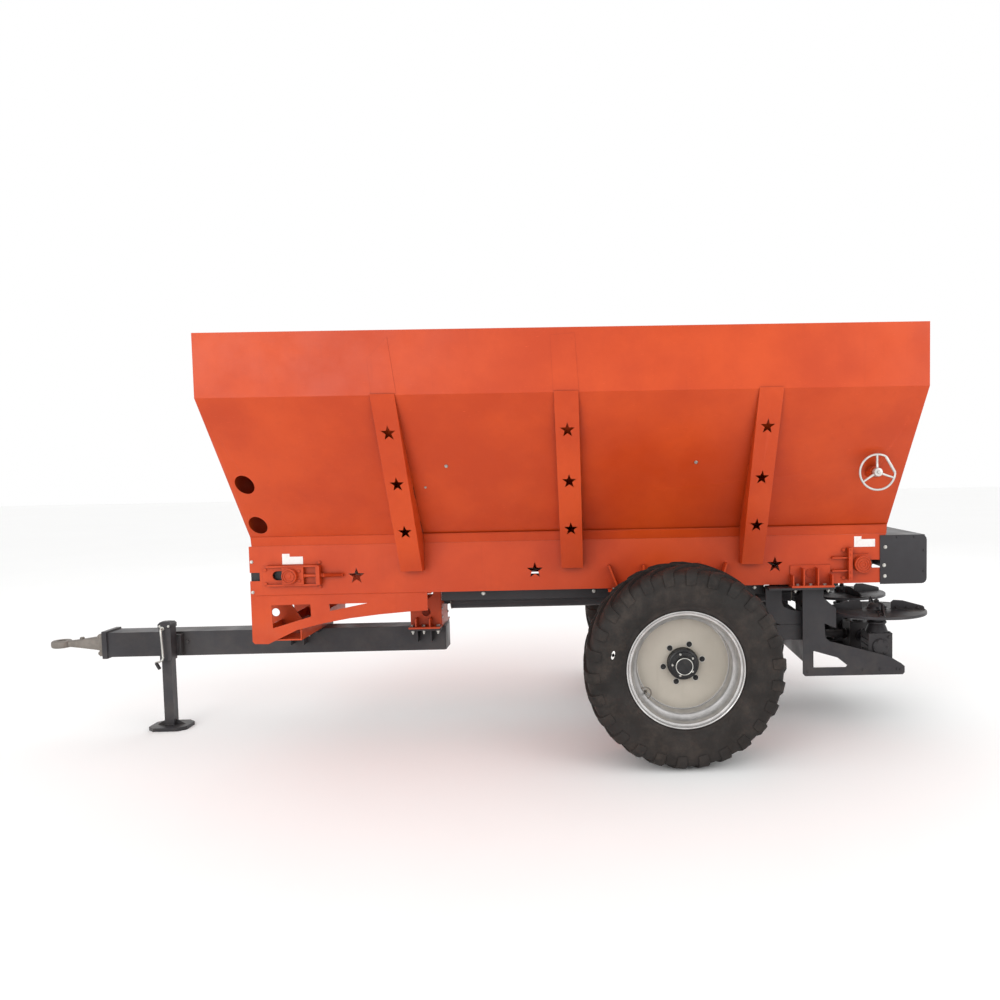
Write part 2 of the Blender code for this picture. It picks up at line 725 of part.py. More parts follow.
def hub(side):
    """Wheel hub with its flange behind the disc, nose through the disc and grease cap."""
    flange = WHEEL_DISC[0] - GAP
    profile = [
        (0.0, 0.110),
        (0.040, 0.110),
        (0.047, 0.102),
        (0.047, 0.062),
        (0.066, 0.058),
        (0.078, 0.042),
        (HUB_PILOT, 0.036),
        (HUB_PILOT, flange),
        (0.122, flange),
        (0.122, flange - 0.016),
        (0.085, flange - 0.018),
        (0.075, -0.075),
        (0.075, -0.095),
        (0.035, -0.095),
        (0.035, 0.030),
        (0.0, 0.030),
    ]
    shape = [(radius, side * along) for radius, along in profile]
    return turned(shape, "Y", (0, side * TRACK_HALF, AXLE_Z), steps=32)


def axle():
    """Square axle tube with a round spindle at each end."""
    tube_end = TRACK_HALF - 0.115
    half = AXLE_TUBE / 2
    tube = box((-half, -tube_end, AXLE_Z - half), (half, tube_end, AXLE_Z + half))
    spindle_end = TRACK_HALF + 0.024
    spindle = rod((0, -spindle_end, AXLE_Z), "Y", 2 * spindle_end, 0.030)
    return joined(tube, spindle)


def pedestal(side):
    """Welded seat between the beam and the axle, with gussets up the beam's face."""
    top = BEAM_BOTTOM_Z - GAP
    low, high = across(side, 0.34, 0.515)
    cap = box((-0.37, low, top - 0.010), (0.31, high, top))
    axle_top = AXLE_Z + AXLE_TUBE / 2 + GAP
    half = AXLE_TUBE / 2 + GAP
    low, high = across(side, 0.37, 0.49)
    webs = plate(
        [
            (-0.17, top - 0.005),
            (-0.09, 0.53),
            (-half, 0.53),
            (-half, axle_top),
            (half, axle_top),
            (half, 0.53),
            (0.09, 0.53),
            (0.17, top - 0.005),
        ],
        "side",
        low,
        high,
    )
    gussets = []
    low, high = across(side, HALF_BEAM + GAP, 0.512)
    for foot_x, head_x in ((-0.31, -0.362), (-0.167, -0.167), (0.153, 0.153), (0.262, 0.305)):
        outline = [
            (foot_x - 0.005, top - 0.002),
            (foot_x + 0.005, top - 0.002),
            (head_x + 0.005, 0.975),
            (head_x - 0.005, 0.975),
        ]
        gussets.append(plate(outline, "side", low, high))
    return joined(cap, webs, *gussets)


def underframe():
    """Two dark rails under the floor with two cross members, between the drawbar and the axle."""
    x_low, x_high = -1.344, 0.555
    rails = []
    for side in (LEFT, RIGHT):
        low, high = across(side, 0.255, 0.315)
        rails.append(box((x_low, low, 0.768), (x_high, high, 0.8372)))
    members = [box((x - 0.03, -0.26, 0.780), (x + 0.03, 0.26, 0.8332)) for x in (-1.10, -0.45, 0.50)]
    return joined(rails[0], *members, rails[1])


# ---------------------------------------------------------------- drawbar


def drawbar():
    """Square tube with a front flange and two pairs of bolting wings."""
    half = DRAWBAR_SIZE / 2
    tube = box((DRAWBAR_FRONT_X, -half, DRAWBAR_Z - half), (DRAWBAR_REAR_X, half, DRAWBAR_Z + half))
    inside = box(
        (DRAWBAR_FRONT_X + 0.02, -half + 0.008, DRAWBAR_Z - half + 0.008),
        (DRAWBAR_REAR_X + 0.1, half - 0.008, DRAWBAR_Z + half - 0.008),
    )
    flange_half = 0.084
    flange = box(
        (DRAWBAR_FRONT_X - 0.014, -flange_half, DRAWBAR_Z - flange_half),
        (DRAWBAR_FRONT_X + 0.016, flange_half, DRAWBAR_Z + flange_half),
    )
    wings = []
    top = DRAWBAR_Z + half - 0.002
    for x_low, x_high, gusset_places in (
        (-2.315, -2.130, (-2.300, -2.222)),
        (-1.575, -1.385, (-1.532, -1.448)),
    ):
        for side in (LEFT, RIGHT):
            low, high = across(side, half - 0.001, half + 0.085)
            wings.append(box((x_low, low, top - 0.012), (x_high, high, top)))
            for x in gusset_places:
                low, high = across(side, half - 0.001, half + 0.070)
                wings.append(box((x - 0.004, low, top - 0.085), (x + 0.004, high, top - 0.011)))
    return joined(cut(tube, inside), flange, *wings)


def front_bracket():
    """Channel across the front plates that sits on the drawbar, with two holed gussets to the front."""
    half = HALF_BEAM - 0.008 - GAP
    low_z = DRAWBAR_Z + DRAWBAR_SIZE / 2 + GAP
    body = box((-2.315, -half, low_z), (-2.130, half, low_z + 0.09))
    hollow = box((-2.309, -half - 0.1, low_z + 0.008), (-2.136, half + 0.1, low_z + 0.2))
    outline = [
        (-2.398, low_z + 0.050),
        (-2.150, low_z + 0.004),
        (-2.140, low_z + 0.020),
        (-2.184, 0.645),
        (-2.243, 0.730),
        (-2.300, 0.825),
        (-2.398, 0.825),
    ]
    gussets = []
    for side in (LEFT, RIGHT):
        low, high = across(side, 0.216, 0.224)
        gussets.append(plate(outline, "side", low, high, [circle(-2.351, 0.705, 0.024)]))
    return joined(cut(body, hollow), *gussets)


def rear_bracket():
    """Saddle between the beams and the drawbar: top plate, two holed webs and a bolted foot."""
    low_z = DRAWBAR_Z + DRAWBAR_SIZE / 2 + GAP
    top_z = BEAM_BOTTOM_Z - GAP
    x_low, x_high = -1.575, -1.385
    top = box((-1.440, -HALF_BEAM + 0.010, top_z - 0.010), (x_high, HALF_BEAM - 0.010, top_z))
    foot = box((x_low, -0.18, low_z), (x_high, 0.18, low_z + 0.010))
    pieces = [foot]
    outline = [
        (x_low, low_z + 0.005),
        (x_high - 0.004, low_z + 0.005),
        (x_high - 0.004, top_z - 0.004),
        (-1.434, top_z - 0.004),
        (-1.434, 0.775),
        (-1.470, 0.745),
        (x_low, 0.745),
    ]
    for side in (LEFT, RIGHT):
        low, high = across(side, 0.105, 0.113)
        pieces.append(plate(outline, "side", low, high, [circle(-1.478, 0.668, 0.026)]))
        for x in (-1.532, -1.448):
            low, high = across(side, 0.112, 0.172)
            pieces.append(box((x - 0.004, low, low_z + 0.005), (x + 0.004, high, low_z + 0.062)))
    pieces.append(box((x_high - 0.006, -0.108, low_z + 0.005), (x_high, 0.108, top_z - 0.004)))
    pieces.append(rod((x_high - 0.034, 0, SHAFT_Z), "X", 0.030, 0.045))
    bore = rod((x_low - 0.1, 0, SHAFT_Z), "X", 0.4, 0.018, sides=20)
    return cut(joined(top, *pieces), bore)


def tow_eye():
    """Forged eye on a bolted flange."""
    start = DRAWBAR_FRONT_X - 0.014 - GAP
    flange = box((start - 0.022, -0.075, DRAWBAR_Z - 0.070), (start, 0.075, DRAWBAR_Z + 0.070))
    ring_radius, hole_radius, ring_half = 0.058, 0.026, 0.021
    ring_x = EYE_TIP_X + ring_radius
    ring = rod((ring_x, 0, DRAWBAR_Z - ring_half), "Z", 2 * ring_half, ring_radius, sides=32)
    shank = plate(
        [
            (start - 0.020, DRAWBAR_Z - 0.050),
            (start - 0.020, DRAWBAR_Z + 0.050),
            (ring_x + 0.05, DRAWBAR_Z + 0.020),
            (ring_x + 0.02, DRAWBAR_Z + 0.018),
            (ring_x + 0.02, DRAWBAR_Z - 0.018),
            (ring_x + 0.05, DRAWBAR_Z - 0.020),
        ],
        "side",
        -0.036,
        0.036,
    )
    hole = rod((ring_x, 0, DRAWBAR_Z - 0.1), "Z", 0.2, hole_radius, sides=32)
    return cut(joined(flange, shank, ring), hole)


def jack_tube():
    """Fixed tube of the parking jack, on a plate at the drawbar's left face."""
    half, wall = JACK_TUBE / 2, 0.005
    left, back = JACK_X - half, JACK_Y - half
    tube = box((left, back, JACK_TUBE_BOTTOM_Z), (left + 2 * half, back + 2 * half, JACK_TOP_Z))
    bore = box(
        (JACK_X - half + wall, JACK_Y - half + wall, JACK_TUBE_BOTTOM_Z - 0.05),
        (JACK_X + half - wall, JACK_Y + half - wall, JACK_TOP_Z - 0.008),
    )
    face = -DRAWBAR_SIZE / 2 - GAP
    mount = box(
        (JACK_X - 0.050, JACK_Y + half - 0.001, DRAWBAR_Z - 0.062),
        (JACK_X + 0.060, face, DRAWBAR_Z + 0.062),
    )
    head = rod((JACK_X, JACK_Y, JACK_TOP_Z - 0.001), "Z", 0.014, 0.030, sides=16)
    return joined(cut(tube, bore), mount, head)


def jack_leg():
    """Inner leg of the jack with its foot plate."""
    half = JACK_LEG / 2
    top = JACK_TUBE_BOTTOM_Z + 0.05
    leg = box((JACK_X - half, JACK_Y - half, 0.02), (JACK_X + half, JACK_Y + half, top))
    foot_outline = [
        (JACK_X - 0.114, JACK_Y - 0.050),
        (JACK_X - 0.072, JACK_Y - 0.085),
        (JACK_X + 0.072, JACK_Y - 0.085),
        (JACK_X + 0.114, JACK_Y - 0.050),
        (JACK_X + 0.114, JACK_Y + 0.050),
        (JACK_X + 0.072, JACK_Y + 0.085),
        (JACK_X - 0.072, JACK_Y + 0.085),
        (JACK_X - 0.114, JACK_Y + 0.050),
    ]
    foot = plate(foot_outline, "flat", 0.0, 0.022)
    return joined(leg, foot)


def jack_crank():
    """Crank that hangs down the jack's outer face."""
    y = JACK_Y - JACK_TUBE / 2
    points = [
        (JACK_X - 0.012, y - GAP, JACK_TOP_Z - 0.025),
        (JACK_X - 0.012, y - 0.022, JACK_TOP_Z - 0.025),
        (JACK_X - 0.002, y - 0.026, JACK_TOP_Z - 0.205),
        (JACK_X - 0.016, y - 0.030, JACK_TOP_Z - 0.216),
        (JACK_X - 0.040, y - 0.050, JACK_TOP_Z - 0.222),
        (JACK_X - 0.012, y - 0.056, JACK_TOP_Z - 0.252),
    ]
    return wire(points, 0.0075)


# ---------------------------------------------------------------- drive line and spreading gear


def drive_shaft():
    """Tubular shaft under the conveyor with a stub at each end, in bearings at both."""
    tube = rod((-1.340, 0, SHAFT_Z), "X", 2.126, 0.047)
    stub = rod((-1.60, 0, SHAFT_Z), "X", 0.8395 + 1.60, 0.0175, sides=20)
    return joined(tube, stub)


def frame_bracket(side):
    """Orange angle bracket on the beam that the rear frame hangs from."""
    top = BEAM_BOTTOM_Z - GAP
    x_low, x_high = 0.674, 0.918
    low, high = across(side, 0.375, 0.515)
    foot = box((x_low, low, top - 0.011), (x_high, high, top))
    ribs = []
    low, high = across(side, HALF_BEAM + GAP, 0.512)
    for x, height in ((0.684, 0.060), (0.744, 0.098), (0.826, 0.098), (0.908, 0.060)):
        ribs.append(box((x - 0.004, low, top - 0.004), (x + 0.004, high, top + height)))
    low, high = across(side, HALF_BEAM + GAP, HALF_BEAM + 0.008)
    back = box((0.680, low, top - 0.004), (0.912, high, 0.948))
    return joined(foot, back, *ribs)


def frame_side(side):
    """Side of the rear frame: an upright, a tapered arm with a window, a brace and a strut ahead."""
    top = BEAM_BOTTOM_Z - 0.011 - 2 * GAP
    low, high = across(side, FRAME_HALF - FRAME_PLATE, FRAME_HALF)
    outline = [
        (0.750, top),
        (0.750, 0.316),
        (0.762, 0.302),
        (1.332, 0.300),
        (1.343, 0.312),
        (1.343, 0.348),
        (1.322, 0.366),
        (1.250, 0.408),
        (1.092, 0.452),
        (0.905, 0.503),
        (0.882, 0.525),
        (0.876, 0.608),
        (0.944, 0.580),
        (0.944, 0.694),
        (0.872, 0.757),
        (0.872, top),
    ]
    window = [
        (0.804, 0.440),
        (0.815, 0.448),
        (0.958, 0.405),
        (1.005, 0.376),
        (1.010, 0.360),
        (1.000, 0.349),
        (0.804, 0.351),
    ]
    web = plate(outline, "side", low, high, [window])
    low, high = across(side, 0.375, 0.51)
    head = box((0.545, low, top - 0.012), (0.918, high, top - 0.0001))
    low, high = across(side, 0.388, 0.396)
    brace_outline = [
        (0.548, top - 0.005),
        (0.548, 0.700),
        (0.565, 0.650),
        (0.600, 0.610),
        (0.650, 0.590),
        (0.8055, 0.588),
        (0.8055, 0.665),
        (0.700, 0.680),
        (0.655, 0.700),
        (0.642, 0.730),
        (0.642, top - 0.005),
    ]
    brace = plate(brace_outline, "side", low, high)
    low, high = across(side, 0.391, 0.401)
    strut_outline = [(0.118, 0.520), (0.785, 0.505), (0.785, 0.594), (0.610, 0.594), (0.118, 0.612)]
    strut = plate(strut_outline, "side", low, high)
    return joined(web, head, brace, strut)


def frame_back():
    """Cross plate between the rear frame's sides, cut away at the top for the drive shaft."""
    half = FRAME_HALF - FRAME_PLATE - GAP
    outline = [
        (-half, 0.335),
        (half, 0.335),
        (half, 0.790),
        (0.30, 0.790),
        (0.20, 0.62),
        (-0.20, 0.62),
        (-0.30, 0.790),
        (-half, 0.790),
    ]
    return plate(outline, "cross", 0.806, 0.814)


def frame_shelf():
    """Shelf between the rear frame's sides that carries the gearboxes."""
    half = FRAME_HALF - FRAME_PLATE - GAP
    shelf = box((1.040, -half, 0.335), (1.332, half, 0.343))
    lips = [
        box((1.040, -half, 0.3355), (1.047, half, 0.362)),
        box((1.325, -half, 0.3355), (1.332, half, 0.358)),
    ]
    ribs = [box((1.041, y - 0.004, 0.340), (1.328, y + 0.004, 0.375)) for y in (-0.16, 0.16)]
    return joined(shelf, *lips, *ribs)


def disc_drive():
    """Upright chain case, tee gearbox on the shelf and the two cross shafts to the disc gearboxes."""
    outline = [
        (-0.085, 0.420),
        (0.085, 0.420),
        (0.085, 0.760),
        (0.050, 0.785),
        (-0.050, 0.785),
        (-0.085, 0.760),
    ]
    case = plate(outline, "cross", 0.8405, 0.895)
    tee = box((DISC_X - 0.075, -0.075, 0.343 + GAP), (DISC_X + 0.075, 0.075, 0.535))
    feed = rod((0.890, 0, 0.455), "X", DISC_X - 0.890 - 0.05, 0.024)
    reach = DISC_Y - 0.0705
    cross = rod((DISC_X, -reach, 0.455), "Y", 2 * reach, 0.024)
    return joined(tee, case, feed, cross)


def disc_gearbox(side):
    """Angle gearbox under a disc: square base, round body and a neck."""
    y = side * DISC_Y
    base = 0.343 + GAP
    body = box((DISC_X - 0.070, y - 0.070, base + 0.02), (DISC_X + 0.070, y + 0.070, 0.535))
    foot = box((DISC_X - 0.082, y - 0.086, base), (DISC_X + 0.082, y + 0.086, base + 0.022))
    shoulder = rod((DISC_X, y, 0.534), "Z", 0.050, 0.066, 0.046)
    neck = rod((DISC_X, y, 0.583), "Z", DISC_Z - 0.022 - GAP - 0.583, 0.040)
    return joined(body, foot, shoulder, neck)


def disc(side):
    """Spreading disc with its hub and four swept vanes of angle section."""
    y = side * DISC_Y
    profile = [
        (0.0, 0.045),
        (0.035, 0.045),
        (0.048, 0.034),
        (0.060, 0.008),
        (0.075, 0.006),
        (DISC_RADIUS, 0.006),
        (DISC_RADIUS, 0.0),
        (0.070, 0.0),
        (0.060, -0.022),
        (0.0, -0.022),
    ]
    body = turned(profile, "Z", (DISC_X, y, DISC_Z), steps=48)
    angle_section = [
        (-0.004, 0.003),
        (0.030, 0.003),
        (0.030, 0.012),
        (0.004, 0.012),
        (0.004, 0.060),
        (-0.004, 0.060),
    ]
    section = [(side * across_vane, z) for across_vane, z in angle_section]
    vanes = []
    for index in range(4):
        vane = plate(section, "cross", 0.085, DISC_RADIUS - 0.006)
        turn = Matrix.Rotation(math.radians(side * 6 + 90 * index), 4, "Z")
        sweep = Matrix.Translation((0, -side * 0.02, 0)) @ Matrix.Rotation(math.radians(side * 8), 4, "Z")
        vane.matrix_world = Matrix.Translation((DISC_X, y, DISC_Z)) @ turn @ sweep @ vane.matrix_world
        vanes.append(vane)
    return joined(body, *vanes)


def hood():
    """Box of plates behind the conveyor that keeps the muck over the discs."""
    inner = HALF_BEAM + GAP
    thick = 0.005
    corner = 0.03

    def side_outline():
        points = [(HOOD_FRONT_X, HOOD_BOTTOM_Z)]
        for x, z, start in (
            (HOOD_REAR_X - corner, HOOD_BOTTOM_Z + corner, -math.pi / 2),
            (HOOD_REAR_X - corner, HOOD_TOP_Z - corner, 0.0),
        ):
            for step in range(5):
                angle = start + math.pi / 2 * step / 4
                points.append((x + corner * math.cos(angle), z + corner * math.sin(angle)))
        return points + [(HOOD_FRONT_X, HOOD_TOP_Z)]

    sides = [plate(side_outline(), "side", *across(side, inner, inner + thick)) for side in (LEFT, RIGHT)]
    reach = inner + 0.001
    top = box((HOPPER_REAR_X + 0.003, -reach, HOOD_TOP_Z - thick), (HOOD_REAR_X - 0.012, reach, HOOD_TOP_Z))
    rear_low = (HOOD_REAR_X - 0.015, -reach, HOOD_BOTTOM_Z + 0.01)
    rear = box(rear_low, (HOOD_REAR_X - 0.010, reach, HOOD_TOP_Z - 0.001))
    return joined(sides[0], top, rear, sides[1])


# ---------------------------------------------------------------- machine


def hang(pieces):
    machine = link(bpy.data.objects.new("manure_spreader", None))
    machine.location.x = AXLE_X
    bpy.context.view_layer.update()
    group = bpy.data.collections.new("manure_spreader")
    bpy.context.scene.collection.children.link(group)
    for piece in pieces:
        piece.parent = machine
        bpy.context.scene.collection.objects.unlink(piece)
        group.objects.link(piece)


def main():
    clear_scene()
    orange = material("orange_paint", ORANGE, 0.42, 0.0)
    grey = material("dark_grey_paint", DARK_GREY, 0.5, 0.0)
    rubber = material("tyre_rubber", (0.018, 0.017, 0.016), 0.85, 0.0)
    silver = material("silver_paint", (0.50, 0.47, 0.42), 0.38, 0.35)
    zinc = material("zinc_steel", (0.55, 0.55, 0.55), 0.35, 0.9)
    steel = material("worn_steel", (0.20, 0.19, 0.18), 0.55, 0.8)

    pieces = [
        node(front_wall(), "front_wall", orange),
        node(front_skin(), "front_skin", orange),
        node(rear_wall(), "rear_wall", orange),
        node(underframe(), "underframe", grey),
        node(conveyor(), "conveyor_chain", steel),
        node(conveyor_bed(), "conveyor_bed", orange),
        node(roller(IDLER_X, HALF_BEAM + 0.042, HALF_BEAM + 0.042), "front_idler_shaft", steel),
        node(roller(DRIVE_X, HALF_BEAM + 0.042, HALF_BEAM + 0.110), "rear_drive_shaft", steel),
        node(conveyor_reducer(), "conveyor_reducer", grey),
        node(gate_frame(), "gate_frame", orange),
        node(gate(), "rear_gate", orange),
        node(gate_shaft(), "gate_shaft", zinc),
        node(handwheel(), "handwheel", zinc),
        node(axle(), "axle", grey),
        node(drawbar(), "drawbar", grey),
        node(front_bracket(), "drawbar_front_bracket", orange),
        node(rear_bracket(), "drawbar_rear_bracket", orange),
        node(tow_eye(), "tow_eye", zinc),
        node(jack_tube(), "jack_tube", grey),
        node(jack_leg(), "jack_leg", grey),
        node(jack_crank(), "jack_crank", zinc),
        node(drive_shaft(), "drive_shaft", grey),
        node(frame_back(), "rear_frame_back", grey),
        node(frame_shelf(), "rear_frame_shelf", grey),
        node(disc_drive(), "disc_drive", grey),
        node(hood(), "rear_hood", grey),
    ]
    for word, side in SIDES.items():
        pieces += [
            node(hopper_side(side), f"{word}_hopper_side", orange),
            node(beam(side), f"{word}_beam", orange),
            node(tensioner(side), f"{word}_chain_tensioner", orange),
            node(drive_bearing(side), f"{word}_drive_bearing", orange),
            node(tyre(side), f"{word}_tyre", rubber),
            node(rim(side), f"{word}_rim", silver),
            node(hub(side), f"{word}_hub", grey),
            node(pedestal(side), f"{word}_axle_pedestal", orange),
            node(frame_bracket(side), f"{word}_frame_bracket", orange),
            node(frame_side(side), f"{word}_rear_frame_plate", grey),
            node(disc_gearbox(side), f"{word}_disc_gearbox", grey),
            node(disc(side), f"{word}_disc", grey),
        ]
        for place, x in RIBS_X.items():
            pieces.append(node(rib(side, x), f"{word}_{place}_rib", orange))
    hang(pieces)


main()
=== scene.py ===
"""Looks of the manure spreader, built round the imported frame.

Metres, +Z up. The tow eye points along -X and the machine's left side is at -Y. Sizes along X are
measured from the axle.
"""

import json
import math
import random

import bmesh
import bpy
from mathutils import Matrix, Vector


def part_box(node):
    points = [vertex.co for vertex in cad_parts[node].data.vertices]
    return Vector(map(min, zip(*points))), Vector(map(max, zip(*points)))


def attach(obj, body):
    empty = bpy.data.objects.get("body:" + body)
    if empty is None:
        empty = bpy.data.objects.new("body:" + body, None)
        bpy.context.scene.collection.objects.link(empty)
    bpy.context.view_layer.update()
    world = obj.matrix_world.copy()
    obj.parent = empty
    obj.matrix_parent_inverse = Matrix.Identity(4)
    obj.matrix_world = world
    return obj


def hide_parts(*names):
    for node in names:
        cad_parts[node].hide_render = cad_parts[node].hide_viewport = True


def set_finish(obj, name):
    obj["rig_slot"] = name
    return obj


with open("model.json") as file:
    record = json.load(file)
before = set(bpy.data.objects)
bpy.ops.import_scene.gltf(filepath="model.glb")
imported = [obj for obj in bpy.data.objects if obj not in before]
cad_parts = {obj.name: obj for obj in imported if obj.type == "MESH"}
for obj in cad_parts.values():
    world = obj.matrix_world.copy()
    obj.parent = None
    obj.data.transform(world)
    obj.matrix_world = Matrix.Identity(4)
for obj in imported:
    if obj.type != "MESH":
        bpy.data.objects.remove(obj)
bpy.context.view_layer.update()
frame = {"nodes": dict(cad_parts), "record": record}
random.seed(7)

AXLE_LOW, AXLE_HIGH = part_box("axle")
AXLE_X = (AXLE_LOW.x + AXLE_HIGH.x) / 2
LEFT, RIGHT = -1, 1
SIDES = {"left": LEFT, "right": RIGHT}
X, Y, Z = Vector((1, 0, 0)), Vector((0, 1, 0)), Vector((0, 0, 1))

BEARING_Z = 0.951
IDLER_X, DRIVE_X = -2.167, 1.086
CHAIN_RADIUS = 0.091
BEAM_WALL = 0.4403
GATE_SHAFT_X, GATE_SHAFT_Z = 1.060, 1.480
HANDWHEEL_Y = -0.81
RACK_Y = 0.25
RIBS_X = (-1.474, -0.570, 0.449)
DISC_X, DISC_Y, DISC_Z = 1.216, 0.34, 0.661
JACK_X, JACK_Y, JACK_TOP = -3.034, -0.148, 0.640
DRAWBAR_Z = 0.500
SHAFT_START, SHAFT_Z = -1.600, 0.716
CROSS_SHAFT_Z = 0.455
FLOOR_HALF = 40.0
IMAGE_PIXELS, FOCAL_PIXELS, SENSOR_MM = 1000, 833.6, 36
IMAGE_CENTRE = (605.35, 513.58)
CAMERA_PLACE = (AXLE_X - 0.4626, -5.1932, 1.5392)
LUG_COUNT = 26
NUT_COUNT, NUT_CIRCLE, NUT_START = 6, 0.1025, math.radians(10)
GRIP_LINES = 150


def at(x, y, z):
    """A point with x measured from the axle."""
    return Vector((x + AXLE_X, y, z))


# ---------------------------------------------------------------- shapes


def circle(centre, radius, count, start=0.0, second=Y):
    """Evenly spread points round a centre, from X towards second."""
    angles = [math.tau * index / count + start for index in range(count)]
    return [
        centre + X * (radius * math.cos(angle)) + second * (radius * math.sin(angle))
        for angle in angles
    ]


def sides_of(corners):
    """Pairs of neighbouring corners, all the way round."""
    return zip(corners, corners[1:] + corners[:1])


def facing(direction):
    """Rotation that turns +Z to direction."""
    return Vector(direction).to_track_quat("Z", "Y").to_matrix().to_4x4()


class Shape:
    """Collects solids into one mesh."""

    def __init__(self):
        self.form = bmesh.new()

    def add_points(self, rings, caps=True):
        """Joins rings of points, each with as many points, into one skin."""
        made = [[self.form.verts.new(point) for point in ring] for ring in rings]
        pairs = list(zip(made, made[1:]))
        for ring, after in pairs:
            count = len(ring)
            for index in range(count):
                step = (index + 1) % count
                self.form.faces.new((ring[index], ring[step], after[step], after[index]))
        if caps:
            self.form.faces.new(made[0][::-1])
            self.form.faces.new(made[-1])
        return made

    def box(self, low, high, bevel=0.0):
        """A block between two corners, with its edges eased by bevel."""
        low, high = Vector(low), Vector(high)
        result = bmesh.ops.create_cube(self.form, size=1.0)
        verts = result["verts"]
        bmesh.ops.scale(self.form, vec=high - low, verts=verts)
        if bevel:
            edges = list({edge for vert in verts for edge in vert.link_edges})
            cut = bmesh.ops.bevel(
                self.form, geom=edges, offset=bevel, segments=2, affect="EDGES", profile=0.7
            )
            verts = cut["verts"]
        bmesh.ops.translate(self.form, vec=(low + high) / 2, verts=verts)

    def lathe(self, profile, centre, direction, steps, ring=False):
        """Turns (radius, along) points round a line. With ring, the profile closes on itself."""
        turn = Matrix.Translation(centre) @ facing(direction)
        rows = []
        for radius, along in profile:
            if radius < 1e-6:
                rows.append([self.form.verts.new(turn @ Vector((0, 0, along)))])
                continue
            spots = circle(Z * along, radius, steps)
            rows.append([self.form.verts.new(turn @ spot) for spot in spots])
        pairs = list(zip(rows, rows[1:]))
        if ring:
            pairs.append((rows[-1], rows[0]))
        for row, after in pairs:
            for step in range(steps):
                follow = (step + 1) % steps
                if len(row) == 1:
                    self.form.faces.new((row[0], after[follow], after[step]))
                elif len(after) == 1:
                    self.form.faces.new((row[step], row[follow], after[0]))
                else:
                    self.form.faces.new((row[step], row[follow], after[follow], after[step]))
        if not ring:
            for row in (rows[0], rows[-1]):
                if len(row) > 1:
                    self.form.faces.new(row)

    def rod(self, start, end, radius, steps, edge=0.0):
        """A round bar between two points, with its ends eased by edge."""
        start, end = Vector(start), Vector(end)
        length = (end - start).length
        if edge:
            profile = [(radius - edge, 0), (radius, edge), (radius, length - edge), (radius - edge, length)]
        else:
            profile = [(radius, 0), (radius, length)]
        self.lathe(profile, start, end - start, steps)

    def prism(self, outline, place, thickness):
        """An outline in the XY plane of place, filled up along its Z."""
        self.add_points([[place @ Vector((x, y, height)) for x, y in outline] for height in (0, thickness)])

    def tube(self, points, radius, steps, closed=False):
        """A round bar that follows points smoothly enough for wire and hose."""
        points = [Vector(point) for point in points]
        count = len(points)
        rings = []
        normal = None
        for index, point in enumerate(points):
            before = points[index - 1] if index or closed else point
            after = points[(index + 1) % count] if index < count - 1 or closed else point
            along = (after - before).normalized()
            if normal is None:
                normal = along.orthogonal().normalized()
            normal = (normal - along * normal.dot(along)).normalized()
            side = along.cross(normal)
            size = radius[index] if isinstance(radius, (list, tuple)) else radius
            rings.append(
                [
                    point
                    + (
                        normal * math.cos(
                            math.tau * step / steps
                        ) + side * math.sin(math.tau * step / steps)
                    )
                    * size
                    for step in range(steps)
                ]
            )
        if closed:
            made = self.add_points(rings, caps=False)
            for step in range(steps):
                follow = (step + 1) % steps
                self.form.faces.new((made[-1][step], made[-1][follow], made[0][follow], made[0][step]))
        else:
            self.add_points(rings)

    def bolt(self, place, direction, size, washer=True, nut=False, stick=0.0):
        """A hexagon head, or a nut on a threaded end, on its washer. size is the shank's."""
        turn = Matrix.Translation(place) @ facing(direction) @ Matrix.Rotation(random.random(), 4, "Z")
        base = 0.0
        if washer:
            self.lathe(
                [
                    (size * 1.05, 0), (size * 1.1, size * 0.06), (size * 1.1, size * 0.16),
                    (size * 1.0, size * 0.2),
                ],
                place,
                direction,
                20,
            )
            base = size * 0.2
        hexagon = [
            (size * 0.92 * math.cos(math.tau * corner / 6), size * 0.92 * math.sin(math.tau * corner / 6))
            for corner in range(6)
        ]
        height = size * (0.8 if nut else 0.62)
        rings = []
        for z, scale in (
            (base, 0.95), (base + size * 0.07, 1.0), (base + height - size * 0.1, 1.0),
            (base + height, 0.88),
        ):
            rings.append([turn @ Vector((x * scale, y * scale, z)) for x, y in hexagon])
        self.add_points(rings)
        if nut:
            end = Vector(place) + Vector(direction).normalized() * (base + height + stick + size * 0.35)
            self.rod(place, end, size * 0.48, steps=12, edge=size * 0.08)

    def weld(self, start, end, radius, pitch=0.0045):
        """A rippled weld bead from start to end."""
        start, end = Vector(start), Vector(end)
        count = max(3, int((end - start).length / pitch))
        points, radii = [], []
        for index in range(count + 1):
            wobble = Vector([random.uniform(-0.12, 0.12) * radius for _ in range(3)])
            points.append(start.lerp(end, index / count) + wobble)
            radii.append(radius * (1.0 if index % 2 else 0.78) * random.uniform(0.92, 1.08))
        radii[0] = radii[-1] = radius * 0.4
        self.tube(points, radii, steps=6)

    def piece(self, name, body, finish, slot_name, smooth=35):
        """Ends the shape as a named piece that rides on a body."""
        bmesh.ops.recalc_face_normals(self.form, faces=self.form.faces)
        mesh = bpy.data.meshes.new(name)
        self.form.to_mesh(mesh)
        self.form.free()
        obj = bpy.data.objects.new(name, mesh)
        bpy.context.scene.collection.objects.link(obj)
        mesh.materials.append(finish)
        mesh.shade_smooth()
        mesh.set_sharp_from_angle(angle=math.radians(smooth))
        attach(obj, body)
        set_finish(obj, slot_name)
        return obj


# ---------------------------------------------------------------- finishes


DUST = (0.30, 0.24, 0.18)
GLOSS = 0.3


